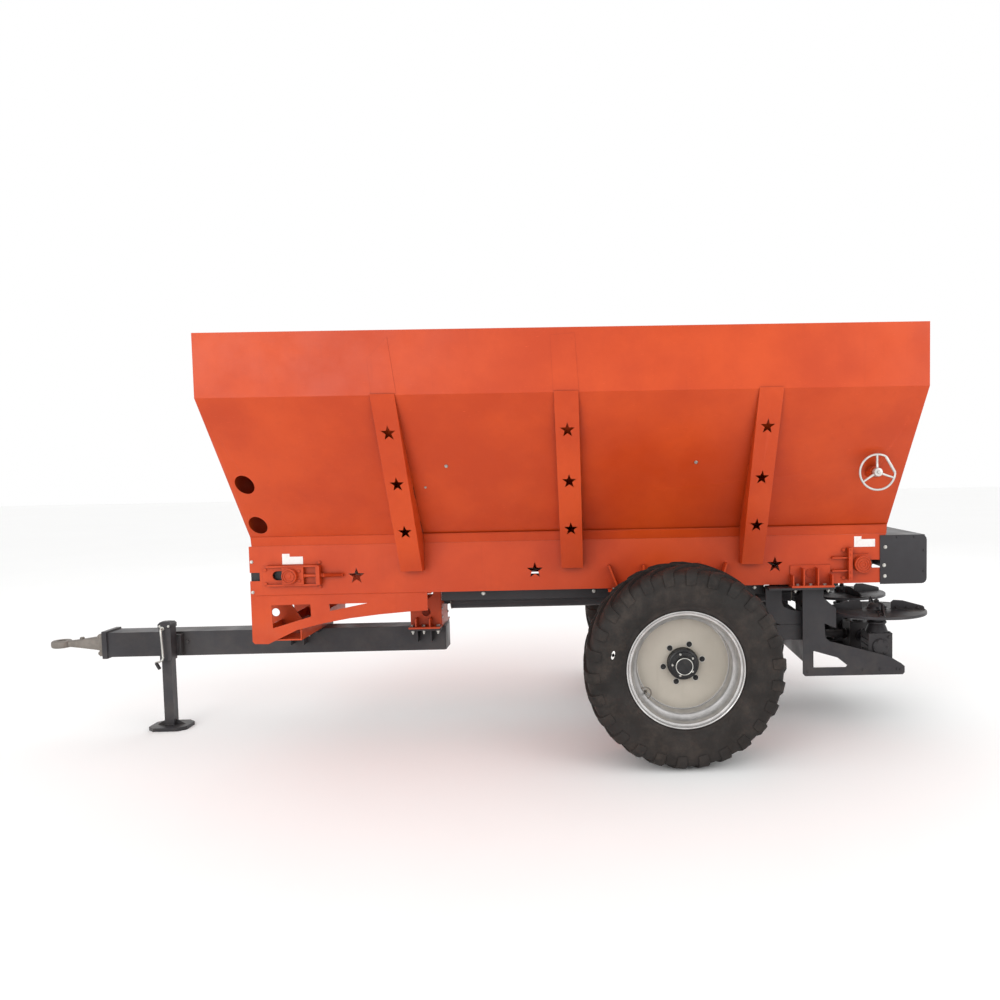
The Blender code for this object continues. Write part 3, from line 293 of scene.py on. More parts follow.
class Finish:
    """Wires one Principled material."""

    def __init__(self, name):
        self.material = bpy.data.materials.new(name)
        self.material.use_nodes = True
        self.tree = self.material.node_tree
        self.shader = self.tree.nodes["Principled BSDF"]
        self.place = self.tree.nodes.new("ShaderNodeTexCoord").outputs["Object"]
        self.normal = None

    def node(self, kind, inputs=None, **settings):
        made = self.tree.nodes.new("ShaderNode" + kind)
        for key, value in settings.items():
            setattr(made, key, value)
        for key, value in (inputs or {}).items():
            if isinstance(value, bpy.types.NodeSocket):
                self.tree.links.new(value, made.inputs[key])
            else:
                made.inputs[key].default_value = value
        return made

    def noise(self, scale, detail, roughness, stretch=None):
        source = self.place
        if stretch:
            source = self.node("Mapping", {"Vector": source, "Scale": stretch}).outputs[0]
        return self.node(
            "TexNoise", {"Vector": source, "Scale": scale, "Detail": detail, "Roughness": roughness}
        ).outputs["Fac"]

    def band(self, value, low, high, out_low=0.0, out_high=1.0):
        """value moved from low..high to out_low..out_high, and held inside it."""
        return self.node(
            "MapRange",
            {"Value": value, "From Min": low, "From Max": high, "To Min": out_low, "To Max": out_high},
            interpolation_type="SMOOTHSTEP",
        ).outputs[0]

    def math(self, operation, first, second):
        made = self.node("Math", operation=operation)
        for socket, value in zip(made.inputs, (first, second)):
            if isinstance(value, bpy.types.NodeSocket):
                self.tree.links.new(value, socket)
            else:
                socket.default_value = value
        return made.outputs[0]

    def mix(self, factor, first, second):
        """Colour first where factor is 0 and second where it is 1."""
        made = self.node("Mix", data_type="RGBA")
        for key, value in ((0, factor), (6, first), (7, second)):
            if isinstance(value, bpy.types.NodeSocket):
                self.tree.links.new(value, made.inputs[key])
            else:
                made.inputs[key].default_value = (*value, 1.0) if key else value
        return made.outputs[2]

    def bump(self, height, strength, distance):
        made = self.node("Bump", {"Height": height, "Strength": strength, "Distance": distance})
        if self.normal is not None:
            self.tree.links.new(self.normal, made.inputs["Normal"])
        self.normal = made.outputs[0]

    def upward(self):
        """1 on what faces up and 0 on what faces sideways or down."""
        normal = self.node("NewGeometry").outputs["Normal"]
        z = self.node("SeparateXYZ", {0: normal}).outputs[2]
        return self.band(z, 0.35, 0.95)

    def height(self):
        return self.node("SeparateXYZ", {0: self.place}).outputs[2]

    def painted_corner_shade(self, distance):
        """Painted shade: 1 in corners and 0 in the open, from ambient occlusion."""
        shade = self.node("AmbientOcclusion", {"Distance": distance}, samples=6).outputs["AO"]
        return self.band(shade, 0.95, 0.35)

    def done(self, colour, roughness, metallic=0.0, coat=0.0, coat_roughness=0.1):
        for key, value in (("Base Color", colour), ("Roughness", roughness), ("Metallic", metallic)):
            if isinstance(value, bpy.types.NodeSocket):
                self.tree.links.new(value, self.shader.inputs[key])
            else:
                self.shader.inputs[key].default_value = (*value, 1.0) if key == "Base Color" else value
        self.shader.inputs["Specular IOR Level"].default_value = GLOSS
        self.shader.inputs["Coat Weight"].default_value = coat
        self.shader.inputs["Coat Roughness"].default_value = coat_roughness
        if self.normal is not None:
            self.tree.links.new(self.normal, self.shader.inputs["Normal"])
        return self.material




def paint(name, light, dark, dust=0.25, rough=(0.34, 0.52), wave=0.6):
    """Sprayed machine paint: cloudy tone, fine grain, dust where it settles, painted shade in corners."""
    f = Finish(name)
    cloud = f.noise(1.6, 5, 0.6)
    grain = f.noise(260, 2, 0.5)
    tone = f.mix(f.band(cloud, 0.36, 0.66), dark, light)
    speck = f.band(f.noise(46, 3, 0.7), 0.60, 0.78, 0.0, 0.10)
    tone = f.mix(speck, tone, tuple(channel * 0.55 for channel in dark))
    runs = f.noise(9, 4, 0.6, stretch=(3.2, 3.2, 0.22))
    tone = f.mix(f.band(runs, 0.55, 0.80, 0.0, 0.16), tone, tuple(channel * 0.72 for channel in dark))
    # Painted shade: the paint is darkened in corners from ambient occlusion.
    corner_shade = f.painted_corner_shade(0.05)
    tone = f.mix(f.math("MULTIPLY", corner_shade, 0.42), tone, tuple(channel * 0.30 for channel in dark))
    low = f.band(f.height(), 0.95, 0.25)
    settle = f.math("MAXIMUM", f.math("MULTIPLY", f.upward(), 0.8), f.math("MULTIPLY", low, 0.45))
    patch = f.band(f.noise(7, 6, 0.65), 0.38, 0.72)
    tone = f.mix(f.math("MULTIPLY", f.math("MULTIPLY", settle, patch), dust), tone, DUST)
    scratch = f.band(f.noise(34, 2, 0.4, stretch=(1.0, 1.0, 14.0)), 0.735, 0.775, 0.0, 0.35)
    tone = f.mix(scratch, tone, tuple(min(1.0, channel * 1.5 + 0.04) for channel in light))
    f.bump(grain, 0.10, 0.0006)
    f.bump(f.noise(2.4, 2, 0.4), wave * 0.35, 0.012)
    return f.done(tone, f.band(f.noise(5, 5, 0.6), 0.3, 0.75, *rough), 0.0, 0.05, 0.25)


def rubber():
    f = Finish("tyre_rubber_worn")
    tone = f.mix(f.band(f.noise(3, 5, 0.6), 0.35, 0.7), (0.013, 0.0112, 0.0102), (0.024, 0.0195, 0.0175))
    dusty = f.band(f.noise(11, 6, 0.7), 0.42, 0.74, 0.0, 0.5)
    tone = f.mix(dusty, tone, (0.060, 0.045, 0.036))
    # Painted shade: the rubber is darkened in grooves and corners from ambient occlusion.
    tone = f.mix(f.math("MULTIPLY", f.painted_corner_shade(0.03), 0.55), tone, (0.012, 0.010, 0.009))
    fine = f.noise(180, 4, 0.7)
    tone = f.mix(f.band(fine, 0.55, 0.8, 0.0, 0.25), tone, (0.075, 0.060, 0.050))
    f.bump(fine, 0.25, 0.0008)
    f.bump(f.noise(28, 3, 0.6), 0.2, 0.003)
    return f.done(tone, f.band(f.noise(9, 4, 0.6), 0.3, 0.7, 0.62, 0.86))


def metal(name, colour, rough, metallic, stain):
    """Bare or plated metal with clouding, fine brushing and painted shade in corners."""
    f = Finish(name)
    tone = f.mix(
        f.band(f.noise(14, 5, 0.65), 0.35, 0.7), tuple(channel * 0.78 for channel in colour), colour
    )
    spots = f.band(f.noise(38, 4, 0.7), 0.56, 0.78, 0.0, stain)
    tone = f.mix(spots, tone, (0.16, 0.11, 0.07))
    # Painted shade: the metal is darkened in corners from ambient occlusion.
    tone = f.mix(
        f.math("MULTIPLY", f.painted_corner_shade(0.02), 0.6), tone, tuple(channel * 0.25 for channel in colour),
    )
    brushed = f.noise(120, 3, 0.5, stretch=(1, 1, 6))
    f.bump(brushed, 0.12, 0.0004)
    return f.done(tone, f.band(f.noise(22, 4, 0.6), 0.3, 0.7, *rough), metallic)


def plain_label():
    f = Finish("blank_label")
    tone = f.mix(f.band(f.noise(60, 3, 0.6), 0.4, 0.8, 0.0, 0.5), (0.80, 0.79, 0.77), (0.62, 0.60, 0.57))
    f.bump(f.noise(90, 2, 0.5), 0.05, 0.0003)
    return f.done(tone, f.band(f.noise(40, 2, 0.5), 0.3, 0.7, 0.35, 0.5), 0.0, 0.3, 0.2)


def hub_black():
    f = Finish("hub_black")
    tone = f.mix(f.band(f.noise(30, 4, 0.6), 0.4, 0.7), (0.010, 0.010, 0.011), (0.022, 0.021, 0.021))
    tone = f.mix(f.band(f.noise(70, 4, 0.7), 0.58, 0.8, 0.0, 0.35), tone, (0.10, 0.085, 0.07))
    f.bump(f.noise(140, 3, 0.6), 0.12, 0.0005)
    return f.done(tone, f.band(f.noise(50, 3, 0.6), 0.3, 0.7, 0.35, 0.6), 0.0, 0.15, 0.2)


def floor_finish():
    f = Finish("pale_floor")
    tone = f.mix(f.noise(0.6, 3, 0.5), (0.94, 0.94, 0.935), (0.97, 0.97, 0.965))
    f.bump(f.noise(60, 3, 0.5), 0.02, 0.001)
    return f.done(tone, f.band(f.noise(3, 3, 0.5), 0.3, 0.7, 0.75, 0.9))


ORANGE = paint("orange_paint_used", (0.565, 0.064, 0.009), (0.475, 0.046, 0.006))
GREY = paint("dark_grey_paint_used", (0.041, 0.040, 0.044), (0.027, 0.025, 0.028), 0.18)
RUBBER = rubber()
SILVER = metal("galvanised_rim", (0.62, 0.61, 0.60), (0.28, 0.46), 0.75, 0.12)
CREAM = paint("cream_disc_paint", (0.46, 0.42, 0.36), (0.39, 0.355, 0.30), 0.15, (0.42, 0.60), 0.3)
ZINC = metal("zinc_plate", (0.62, 0.61, 0.57), (0.25, 0.45), 0.85, 0.2)
FORGED = metal("forged_eye", (0.25, 0.225, 0.20), (0.45, 0.7), 0.45, 0.4)
STEEL = metal("worn_chain_steel", (0.26, 0.235, 0.21), (0.38, 0.65), 0.8, 0.6)
CAST = metal("handwheel_plate", (0.68, 0.67, 0.64), (0.3, 0.5), 0.6, 0.2)
BLACK = hub_black()
LABEL = plain_label()
FINISHES = {
    "orange_paint": ORANGE,
    "dark_grey_paint": GREY,
    "tyre_rubber": RUBBER,
    "silver_paint": SILVER,
    "zinc_steel": ZINC,
    "worn_steel": STEEL,
}


def dress_frame():
    """Gives every CAD node its detailed finish and small eased edges."""
    slots = {part["node"]: part["material_slot"] for part in frame["record"]["subparts"]}
    for name, obj in frame["nodes"].items():
        finish = FINISHES[slots[name]]
        obj.data.materials.clear()
        obj.data.materials.append(finish)
        weld = obj.modifiers.new("Weld", "WELD")
        weld.merge_threshold = 0.00002
        ease = obj.modifiers.new("Bevel", "BEVEL")
        ease.width = 0.0012
        ease.segments = 2
        ease.limit_method = "ANGLE"
        ease.angle_limit = math.radians(40)
        ease.harden_normals = False
        if not obj.get("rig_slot"):
            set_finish(obj, slots[name])


# ---------------------------------------------------------------- wheels


def middle_of(node):
    """The middle of a CAD node's box."""
    low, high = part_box(node)
    return Vector(((low.x + high.x) / 2, (low.y + high.y) / 2, (low.z + high.z) / 2))


def arc_of(points, steps):
    """Catmull-Rom curve through (along, out) points, as an even list of points."""
    ends = [points[0], *points, points[-1]]
    curve = []
    for index in range(len(points) - 1):
        a, b, c, d = (Vector((*point, 0)) for point in ends[index : index + 4])
        for step in range(steps):
            t = step / steps
            curve.append(
                0.5
                * (
                    2 * b
                    + (c - a) * t
                    + (2 * a - 5 * b + 4 * c - d) * t * t
                    + (3 * b - a - 3 * c + d) * t * t * t
                )
            )
    curve.append(Vector((*points[-1], 0)))
    return [(point.x, point.y) for point in curve]


class Crown:
    """The tyre's outer surface as distance from its middle line, across the tread and down."""

    def __init__(self, points):
        self.points = arc_of(points, 8)
        self.places = [0.0]
        for first, second in zip(self.points, self.points[1:]):
            self.places.append(self.places[-1] + math.dist(first, second))
        self.length = self.places[-1]

    def at(self, distance, height=0.0):
        """(side, radius) at a distance from the middle line and a height off the surface."""
        sign = -1 if distance < 0 else 1
        reach = min(abs(distance), self.length * 0.9999)
        index = max(i for i, place in enumerate(self.places) if place <= reach)
        first, second = self.points[index], self.points[index + 1]
        share = (reach - self.places[index]) / (self.places[index + 1] - self.places[index])
        side = first[0] + (second[0] - first[0]) * share
        radius = first[1] + (second[1] - first[1]) * share
        across, down = second[0] - first[0], second[1] - first[1]
        size = math.hypot(across, down)
        return sign * (side - down / size * height), radius + across / size * height


TREAD = Crown(
    [
        (0.0, 0.5010), (0.06, 0.5005), (0.115, 0.4985), (0.150, 0.4935), (0.172, 0.484), (0.186, 0.465),
        (0.193, 0.428),
    ]
)


def tyre_piece(word, side):
    """Tyre with two rows of swept lugs that wrap down the shoulders."""
    middle = middle_of(f"{word}_tyre")
    shape = Shape()
    # The wall from shoulder to bead, with the moulded rings near the rim.
    wall = arc_of(
        [
            (0.193, 0.428), (0.1945, 0.390), (0.190, 0.350), (0.182, 0.328), (0.178, 0.318),
            (0.176, 0.306), (0.166, 0.2995), (0.150, 0.290),
        ],
        4,
    )
    rings = [(0.3925, 0.0016), (0.362, 0.0012), (0.331, 0.0016), (0.3150, 0.0014)]
    half = [TREAD.points[i] for i in range(0, len(TREAD.points) - 1, 2)]
    for side_place, radius in wall:
        swell = sum(depth * math.exp(-(((radius - centre) / 0.0022) ** 2)) for centre, depth in rings)
        half.append((side_place + swell, radius))
    half.append((0.138, 0.2868))
    half.append((0.120, 0.2868))
    profile = [
        (radius, -place)
        for place, radius in reversed(half)
    ] + [(radius, place) for place, radius in half[1:]]
    inner = [
        (0.320, 0.150), (0.420, 0.170), (0.470, 0.120), (0.478, 0.0), (0.470, -0.120), (0.420, -0.170),
        (0.320, -0.150),
    ]
    shape.lathe(profile + inner, middle, Y, 144, ring=True)
    # Lugs.
    end = TREAD.length * 0.985
    for row in (LEFT, RIGHT):
        for lug in range(LUG_COUNT):
            start_angle = math.tau * (lug + (0.5 if row == RIGHT else 0.0)) / LUG_COUNT
            sections = []
            for step in range(15):
                share = step / 14
                place = -0.012 + (end + 0.012) * share
                sweep = 0.30 * (1 - (1 - min(share / 0.80, 1.0)) ** 1.45)
                centre_angle = start_angle + sweep
                width = 0.024 + 0.028 * min(share / 0.75, 1.0)
                rise = 0.0138 if share < 0.62 else 0.0138 - (share - 0.62) / 0.38 * 0.0075
                if step in (0, 14):
                    rise *= 0.55
                top = width * 0.5
                foot = width * 0.5 + 0.004
                slant = 0.75 * (1 - min(share / 0.8, 1.0)) + 0.12
                section = []
                for reach, height in (
                    (-foot, -0.004), (-foot + 0.002, 0.25 * rise), (-top, rise), (top, rise),
                    (foot - 0.002, 0.25 * rise), (foot, -0.004),
                ):
                    shift = reach * slant
                    side_place, radius = TREAD.at(place + shift * 0.6, height)
                    angle = centre_angle + reach * math.sqrt(max(0.05, 1 - (slant * 0.6) ** 2)) / 0.49
                    section.append(
                        middle
                        + Vector((radius * math.cos(angle), row * side_place, radius * math.sin(angle)))
                    )
                sections.append(section)
            shape.add_points(sections)
    # Fine radial grip lines by the rim.
    for face in (LEFT, RIGHT):
        for line in range(GRIP_LINES):
            angle = math.tau * line / GRIP_LINES
            across = Matrix.Rotation(-angle, 4, "Y")
            shape.prism(
                [(-0.0007, 0.334), (0.0007, 0.334), (0.0006, 0.351), (-0.0006, 0.351)],
                Matrix.Translation(middle) @ across @ Matrix.Translation(
                    (0, face * 0.1855, 0)
                ) @ Matrix.Rotation(math.pi / 2, 4, "X") @ Matrix.Rotation(0.18 * face, 4, "X"),
                0.0052 * -face,
            )
    obj = shape.piece(f"{word}_tyre_tread", f"{word}_wheel", RUBBER, "tyre_rubber", 32)
    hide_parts(f"{word}_tyre")
    # The pale paint dab on the outer wall.
    dab = Shape()
    spin = Matrix.Rotation(math.radians(-166 if side == LEFT else -14), 4, "Y")
    outline = [
        (0.0085 * math.cos(a) * 0.9, 0.016 * math.sin(a))
        for a in (math.tau * i / 16 for i in range(16))
    ]
    for shift in (-0.006, 0.006):
        dab.prism(
            outline,
            Matrix.Translation(middle) @ spin @ Matrix.Translation(
                (0.375, side * 0.1945, shift)
            ) @ Matrix.Rotation(math.pi / 2 * -side, 4, "X"),
            0.0012,
        )
    dab.piece(f"{word}_tyre_dab", f"{word}_wheel", LABEL, "tyre_rubber")


def wheel_piece(word, side):
    """Rim with its rolled lip and well, the dished disc, wheel nuts, valve and guard."""
    middle = middle_of(f"{word}_rim")
    out = Y * side
    outer = [
        (0.2985, 0.170), (0.2970, 0.1715), (0.2945, 0.172), (0.2915, 0.1705), (0.2895, 0.166),
        (0.2850, 0.1585), (0.2760, 0.1560), (0.2745, 0.150), (0.2730, 0.128), (0.2690, 0.119),
        (0.2585, 0.101), (0.2500, 0.094), (0.2440, 0.088), (0.2410, 0.078), (0.2405, 0.040),
        (0.2405, 0.004),
    ]
    inner = [
        (0.2405, -0.070), (0.2430, -0.078), (0.2690, -0.119), (0.2730, -0.128), (0.2745, -0.150),
        (0.2850, -0.1585), (0.2895, -0.166), (0.2945, -0.172), (0.2985, -0.170), (0.2985, -0.163),
        (0.2875, -0.156), (0.2840, -0.118), (0.2510, -0.072), (0.2510, 0.086), (0.2840, 0.118),
        (0.2875, 0.156), (0.2985, 0.163),
    ]
    rim = Shape()
    rim.lathe([(r, a) for r, a in outer + inner], middle, out, 128, ring=True)
    rim_obj = rim.piece(f"{word}_rim_ring", f"{word}_wheel", SILVER, "silver_paint", 30)
    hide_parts(f"{word}_rim")
    disc = Shape()
    disc.lathe(
        [
            (0.2400, 0.0135), (0.2375, 0.0120), (0.232, 0.0080), (0.220, 0.0070), (0.150, 0.0070),
            (0.130, 0.0078), (0.0820, 0.0078), (0.0815, 0.004), (0.0815, -0.005), (0.2400, -0.005),
        ],
        middle, out, 128, ring=True,
    )
    disc.piece(f"{word}_wheel_disc", f"{word}_wheel", CREAM, "silver_paint", 30)
    # Weld between disc and rim.
    seam = Shape()
    bead = circle(middle + out * 0.0125, 0.2385, 300, second=Z)
    seam.tube(bead, [0.0032 if i % 2 else 0.0024 for i in range(300)], 6, closed=True)
    seam.piece(f"{word}_disc_weld", f"{word}_wheel", SILVER, "silver_paint")
    nuts = Shape()
    for spot in circle(middle + out * 0.0075, NUT_CIRCLE, NUT_COUNT, NUT_START, Z):
        nuts.lathe([(0.0140, 0), (0.0145, 0.001), (0.0140, 0.0025), (0.0095, 0.003)], spot, out, 24)
        nuts.bolt(spot + out * 0.002, out, 0.0112, washer=False, nut=True, stick=0.003)
    nuts.piece(f"{word}_wheel_nuts", f"{word}_wheel", BLACK, "dark_grey_paint")
    rings = Shape()
    for spot in circle(middle + out * 0.0076, NUT_CIRCLE, NUT_COUNT, NUT_START, Z):
        rings.lathe(
            [(0.0146, 0), (0.0172, 0), (0.0169, 0.0012), (0.0148, 0.0012)], spot, out, 28, ring=True,
        )
    rings.piece(f"{word}_wheel_washers", f"{word}_wheel", ZINC, "zinc_steel")
    # Valve with its guard bracket, low on the inner lip.
    valve = Shape()
    angle = math.radians(213 if side == LEFT else -33)
    outward = Vector((math.cos(angle), 0, math.sin(angle)))
    tangent = Vector((-math.sin(angle), 0, math.cos(angle)))
    foot = middle + out * 0.070
    loop = []
    for step in range(13):
        turn = math.pi * step / 12
        loop.append(
            foot + outward * (
                0.2425 - 0.032 * math.sin(turn)
            ) + tangent * (0.030 * math.cos(turn)) + out * 0.022
        )
    valve.tube(loop, 0.0035, 8)
    for end in (loop[0], loop[-1]):
        valve.tube([end, end + outward * 0.006 - out * 0.024], 0.0035, 8)
    stem = foot + outward * 0.236
    valve.rod(stem - out * 0.004, stem + out * 0.012, 0.0085, steps=18, edge=0.001)
    valve.rod(stem + out * 0.010, stem + out * 0.030, 0.0042, steps=14)
    valve.rod(stem + out * 0.028, stem + out * 0.044, 0.0052, steps=14, edge=0.001)
    valve.piece(f"{word}_valve", f"{word}_wheel", STEEL, "worn_steel")


def hub_piece(word, side):
    """Black hub: stepped nose, ring of small screws and a plain round cap with a raised rim."""
    low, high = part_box(f"{word}_hub")
    rim_low, rim_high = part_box(f"{word}_rim")
    middle = Vector(((low.x + high.x) / 2, (rim_low.y + rim_high.y) / 2, (low.z + high.z) / 2))
    out = Y * side
    shape = Shape()
    shape.lathe(
        [
            (0, 0.0925), (0.020, 0.0925), (0.0385, 0.0925), (0.0400, 0.0950), (0.0425, 0.0955),
            (0.0450, 0.0935), (0.0465, 0.088), (0.0468, 0.0625), (0.0500, 0.0600), (0.0640, 0.0590),
            (0.0660, 0.0575), (0.0665, 0.0500), (0.0700, 0.0470), (0.0770, 0.0450), (0.0795, 0.0420),
            (0.0800, 0.0360), (0.0800, -0.0060), (0.1200, -0.0065), (0.1215, -0.0085),
            (0.1215, -0.0200), (0.1195, -0.0220), (0.0850, -0.0240), (0.0750, -0.0750),
            (0.0750, -0.0950), (0.0350, -0.0950), (0.0350, 0.0300), (0, 0.0300),
        ],
        middle, out, 96,
    )
    obj = shape.piece(f"{word}_hub_nose", f"{word}_wheel", BLACK, "dark_grey_paint", 28)
    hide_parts(f"{word}_hub")
    screws = Shape()
    for spot in circle(middle + out * 0.0585, 0.0565, 5, math.radians(35), Z):
        screws.bolt(spot, out, 0.0058)
    screws.lathe(
        [(0.0405, 0.0952), (0.0425, 0.0962), (0.0445, 0.0950), (0.0440, 0.0935), (0.0410, 0.0935)],
        middle, out, 64, ring=True,
    )
    screws.piece(f"{word}_hub_screws", f"{word}_wheel", ZINC, "zinc_steel")


# ---------------------------------------------------------------- hopper


PLATE_EDGE = 0.0055
THIN_BEAD = 0.0026


def plate_welds(shape, x, y, low, high):
    """Weld beads up both sides of an upright plate at x."""
    for edge in (-PLATE_EDGE, PLATE_EDGE):
        shape.weld(at(x + edge, y, low), at(x + edge, y, high), THIN_BEAD)


def slope_half(z):
    """Half width of the hopper's outer face at a height on the slope."""
    return 0.45 + (1.05 - 0.45) * (z - 1.172) / (1.908 - 1.172)


def hopper_trim(side, word):
    """Folded lower edge, black strips painted as the shade in the rib slits, flush gussets in the top band,
    screws, welds at the ribs.
    """
    edge = Shape()
    stops = [-2.384, *[x + shift for x in RIBS_X for shift in (-0.062, 0.062)], 1.232]
    for start, end in zip(stops[::2], stops[1::2]):
        rings = []
        for x in (start, end):
            reach = 0.4555 if start < -2 else 0.4640
            section = [
                (0.4416, 1.124), (0.4424, 1.124), (reach, 1.170), (reach - 0.002, 1.1745),
                (0.4520, 1.1745),
            ]
            rings.append([at(x, side * y, z) for y, z in section])
        edge.add_points(rings)
        if start > -2:
            edge.rod(at(start, side * 0.4635, 1.1735), at(end, side * 0.4635, 1.1735), 0.0026, steps=8)
    edge.piece(f"{word}_hopper_fold", "chassis", ORANGE, "orange_paint")

    # Black strips on the rib walls: painted shade for the gaps between rib and slope.
    slit_shade = Shape()
    for x in RIBS_X:
        for low, high in ((1.170, 1.255), (1.375, 1.450)):
            rows = []
            for reach in (0.0606, 0.0616):
                row = [(low, 0.006), (low + 0.012, 0.017), (high - 0.012, 0.017), (high, 0.006)]
                rows.append([at(x + reach, side * (slope_half(z) + out), z) for z, out in row])
            slit_shade.add_points(rows)
    slit_shade.piece(f"{word}_rib_slit_shade", "chassis", BLACK, "dark_grey_paint")

    flush = Shape()
    outlines = [
        [(-1.542, 2.085), (-1.442, 2.190), (-1.406, 1.915), (-1.528, 1.915)],
        [(-0.642, 2.187), (-0.523, 2.195), (-0.507, 1.915), (-0.633, 1.915)],
    ]
    for outline in outlines:
        low, high = (1.0502, 1.0518)
        flush.add_points([[at(x, side * y, z) for x, z in outline] for y in (low, high)])
    flush.piece(f"{word}_band_gussets", "chassis", ORANGE, "orange_paint")

    welds = Shape()
    for x in RIBS_X:
        for shift in (-0.0625, 0.0625):
            z = 1.86
            while z > 1.25:
                length = random.uniform(0.045, 0.07)
                lower = z - length
                welds.weld(
                    at(x + shift, side * (slope_half(z) + 0.0015), z),
                    at(x + shift, side * (slope_half(lower) + 0.0015), lower),
                    0.0034,
                )
                z -= random.uniform(0.15, 0.21)
        welds.weld(at(x - 0.055, side * 0.4415, 0.966), at(x + 0.055, side * 0.4415, 0.966), 0.003)
    welds.weld(at(-2.38, side * 0.4405, 0.8375), at(-1.42, side * 0.4405, 0.8375), 0.0022, 0.006)
    welds.piece(f"{word}_rib_welds", "chassis", ORANGE, "orange_paint")

    screws = Shape()
    out = Vector((0, side * 0.775, -0.632))
    for x, z, size in ((-1.219, 1.555, 0.009), (-1.35, 1.443, 0.006), (0.105, 1.551, 0.009)):
        screws.bolt(at(x, side * (slope_half(z) + 0.0006), z), out, size)
    for x, z in ((-2.393, 1.032), (-2.393, 0.858)):
        screws.bolt(at(x, side * 0.4402, z), Y * side, 0.0085)
    for x, z in ((1.231, 1.043), (1.224, 0.938), (1.228, 0.875)):
        screws.bolt(at(x, side * 0.4455, z), Y * side, 0.0095)
    screws.piece(f"{word}_side_screws", "chassis", ZINC, "zinc_steel")


def front_shade_plates():
    """Black bar behind the front notches and black plates behind the tensioners' windows: painted shade for
    the dark inside of the frame.
    """
    shape = Shape()
    # Painted shade: near-black boxes where the inside of the frame lies in shadow.
    shape.box(at(-2.403, -0.430, 0.912), at(-2.347, 0.430, 0.980), 0.002)
    for side in (LEFT, RIGHT):
        low, high = sorted((side * 0.412, side * 0.4205))
        shape.box(at(-2.335, low, 0.906), at(-2.206, high, 0.996), 0.002)
        shape.bolt(at(-2.365, side * 0.4302, 0.927), Y * side, 0.007)
    shape.piece("front_shade_plates", "chassis", BLACK, "dark_grey_paint")


def labels():
    """Two blank plates on the left beam."""
    plates = Shape()
    for corner, width in ((-2.219, 0.117), (1.052, 0.121)):
        top, bottom = (1.075, 1.015) if corner < 0 else (1.108, 1.047)
        step = top - 0.017
        outline = [(0, bottom), (width, bottom), (width, step), (0.042, step), (0.042, top), (0, top)]
        rows = [[at(corner + x, y, z) for x, z in outline] for y in (-0.4403, -0.4414)]
        plates.add_points(rows)
    plates.piece("left_label_plates", "chassis", LABEL, "silver_paint")


def round_rings(shape, centre, direction, radii, rise=0.0042, width=0.0034):
    """Raised rings on a flat face."""
    for radius in radii:
        shape.lathe(
            [
                (radius - width, 0), (radius - width * 0.6, rise), (radius + width * 0.6, rise),
                (radius + width, 0),
            ],
            centre,
            direction,
            48,
            ring=True,
        )


def tensioner_trim(side, word):
    """Rings, threaded rod, nuts and bolt heads of the chain tensioner."""
    out = Y * side
    x, z, wall = IDLER_X, BEARING_Z, BEAM_WALL
    shape = Shape()
    face = side * (wall + 0.052)
    round_rings(shape, at(x, face, z), out, (0.0385, 0.027))
    shape.lathe([(0.0, 0.004), (0.006, 0.004), (0.012, 0.002), (0.013, 0)], at(x, face, z), out, 24)
    shape.bolt(at(x, face + side * 0.001, z), out, 0.006, washer=False)
    for end_x, end_z in ((-0.148, 0.036), (-0.146, -0.044), (0.158, 0.072), (0.158, -0.066)):
        y = wall + 0.0045 if end_x < 0 else wall + 0.002
        shape.bolt(at(x + end_x, side * y, z + end_z), out, 0.010)
    for shift in (-0.028, 0.028):
        shape.bolt(at(x + 0.052, side * (wall + 0.0305), z + shift), out, 0.008)
    shape.bolt(at(x + 0.0760, side * (wall + 0.020), z), X, 0.013, washer=False)
    shape.bolt(at(x + 0.169, side * (wall + 0.020), z), X, 0.0135)
    shape.bolt(at(x + 0.183, side * (wall + 0.020), z), X, 0.0135, washer=False)
    shape.box(
        at(x + 0.150, side * (wall + 0.024) - 0.020, z + 0.050),
        at(x + 0.166, side * (wall + 0.024) + 0.020, z + 0.058),
        0.002,
    )
    for edge in (0.0605, -0.0605):
        shape.weld(
            at(x - 0.135, side * (wall + 0.0015), z + edge),
            at(x + 0.145, side * (wall + 0.0015), z + edge), THIN_BEAD,
        )
    shape.piece(f"{word}_tensioner_trim", "chassis", ORANGE, "orange_paint")
    thread = Shape()
    profile = [(0.0085, 0)]
    for turn in range(38):
        profile += [(0.0108, 0.0012 + 0.003 * turn), (0.0092, 0.0027 + 0.003 * turn)]
    profile.append((0.0085, 0.117))
    thread.lathe(profile, at(x + 0.178, side * (wall + 0.020), z), X, 16)
    thread.piece(f"{word}_tensioner_thread", "chassis", ORANGE, "orange_paint", smooth=50)


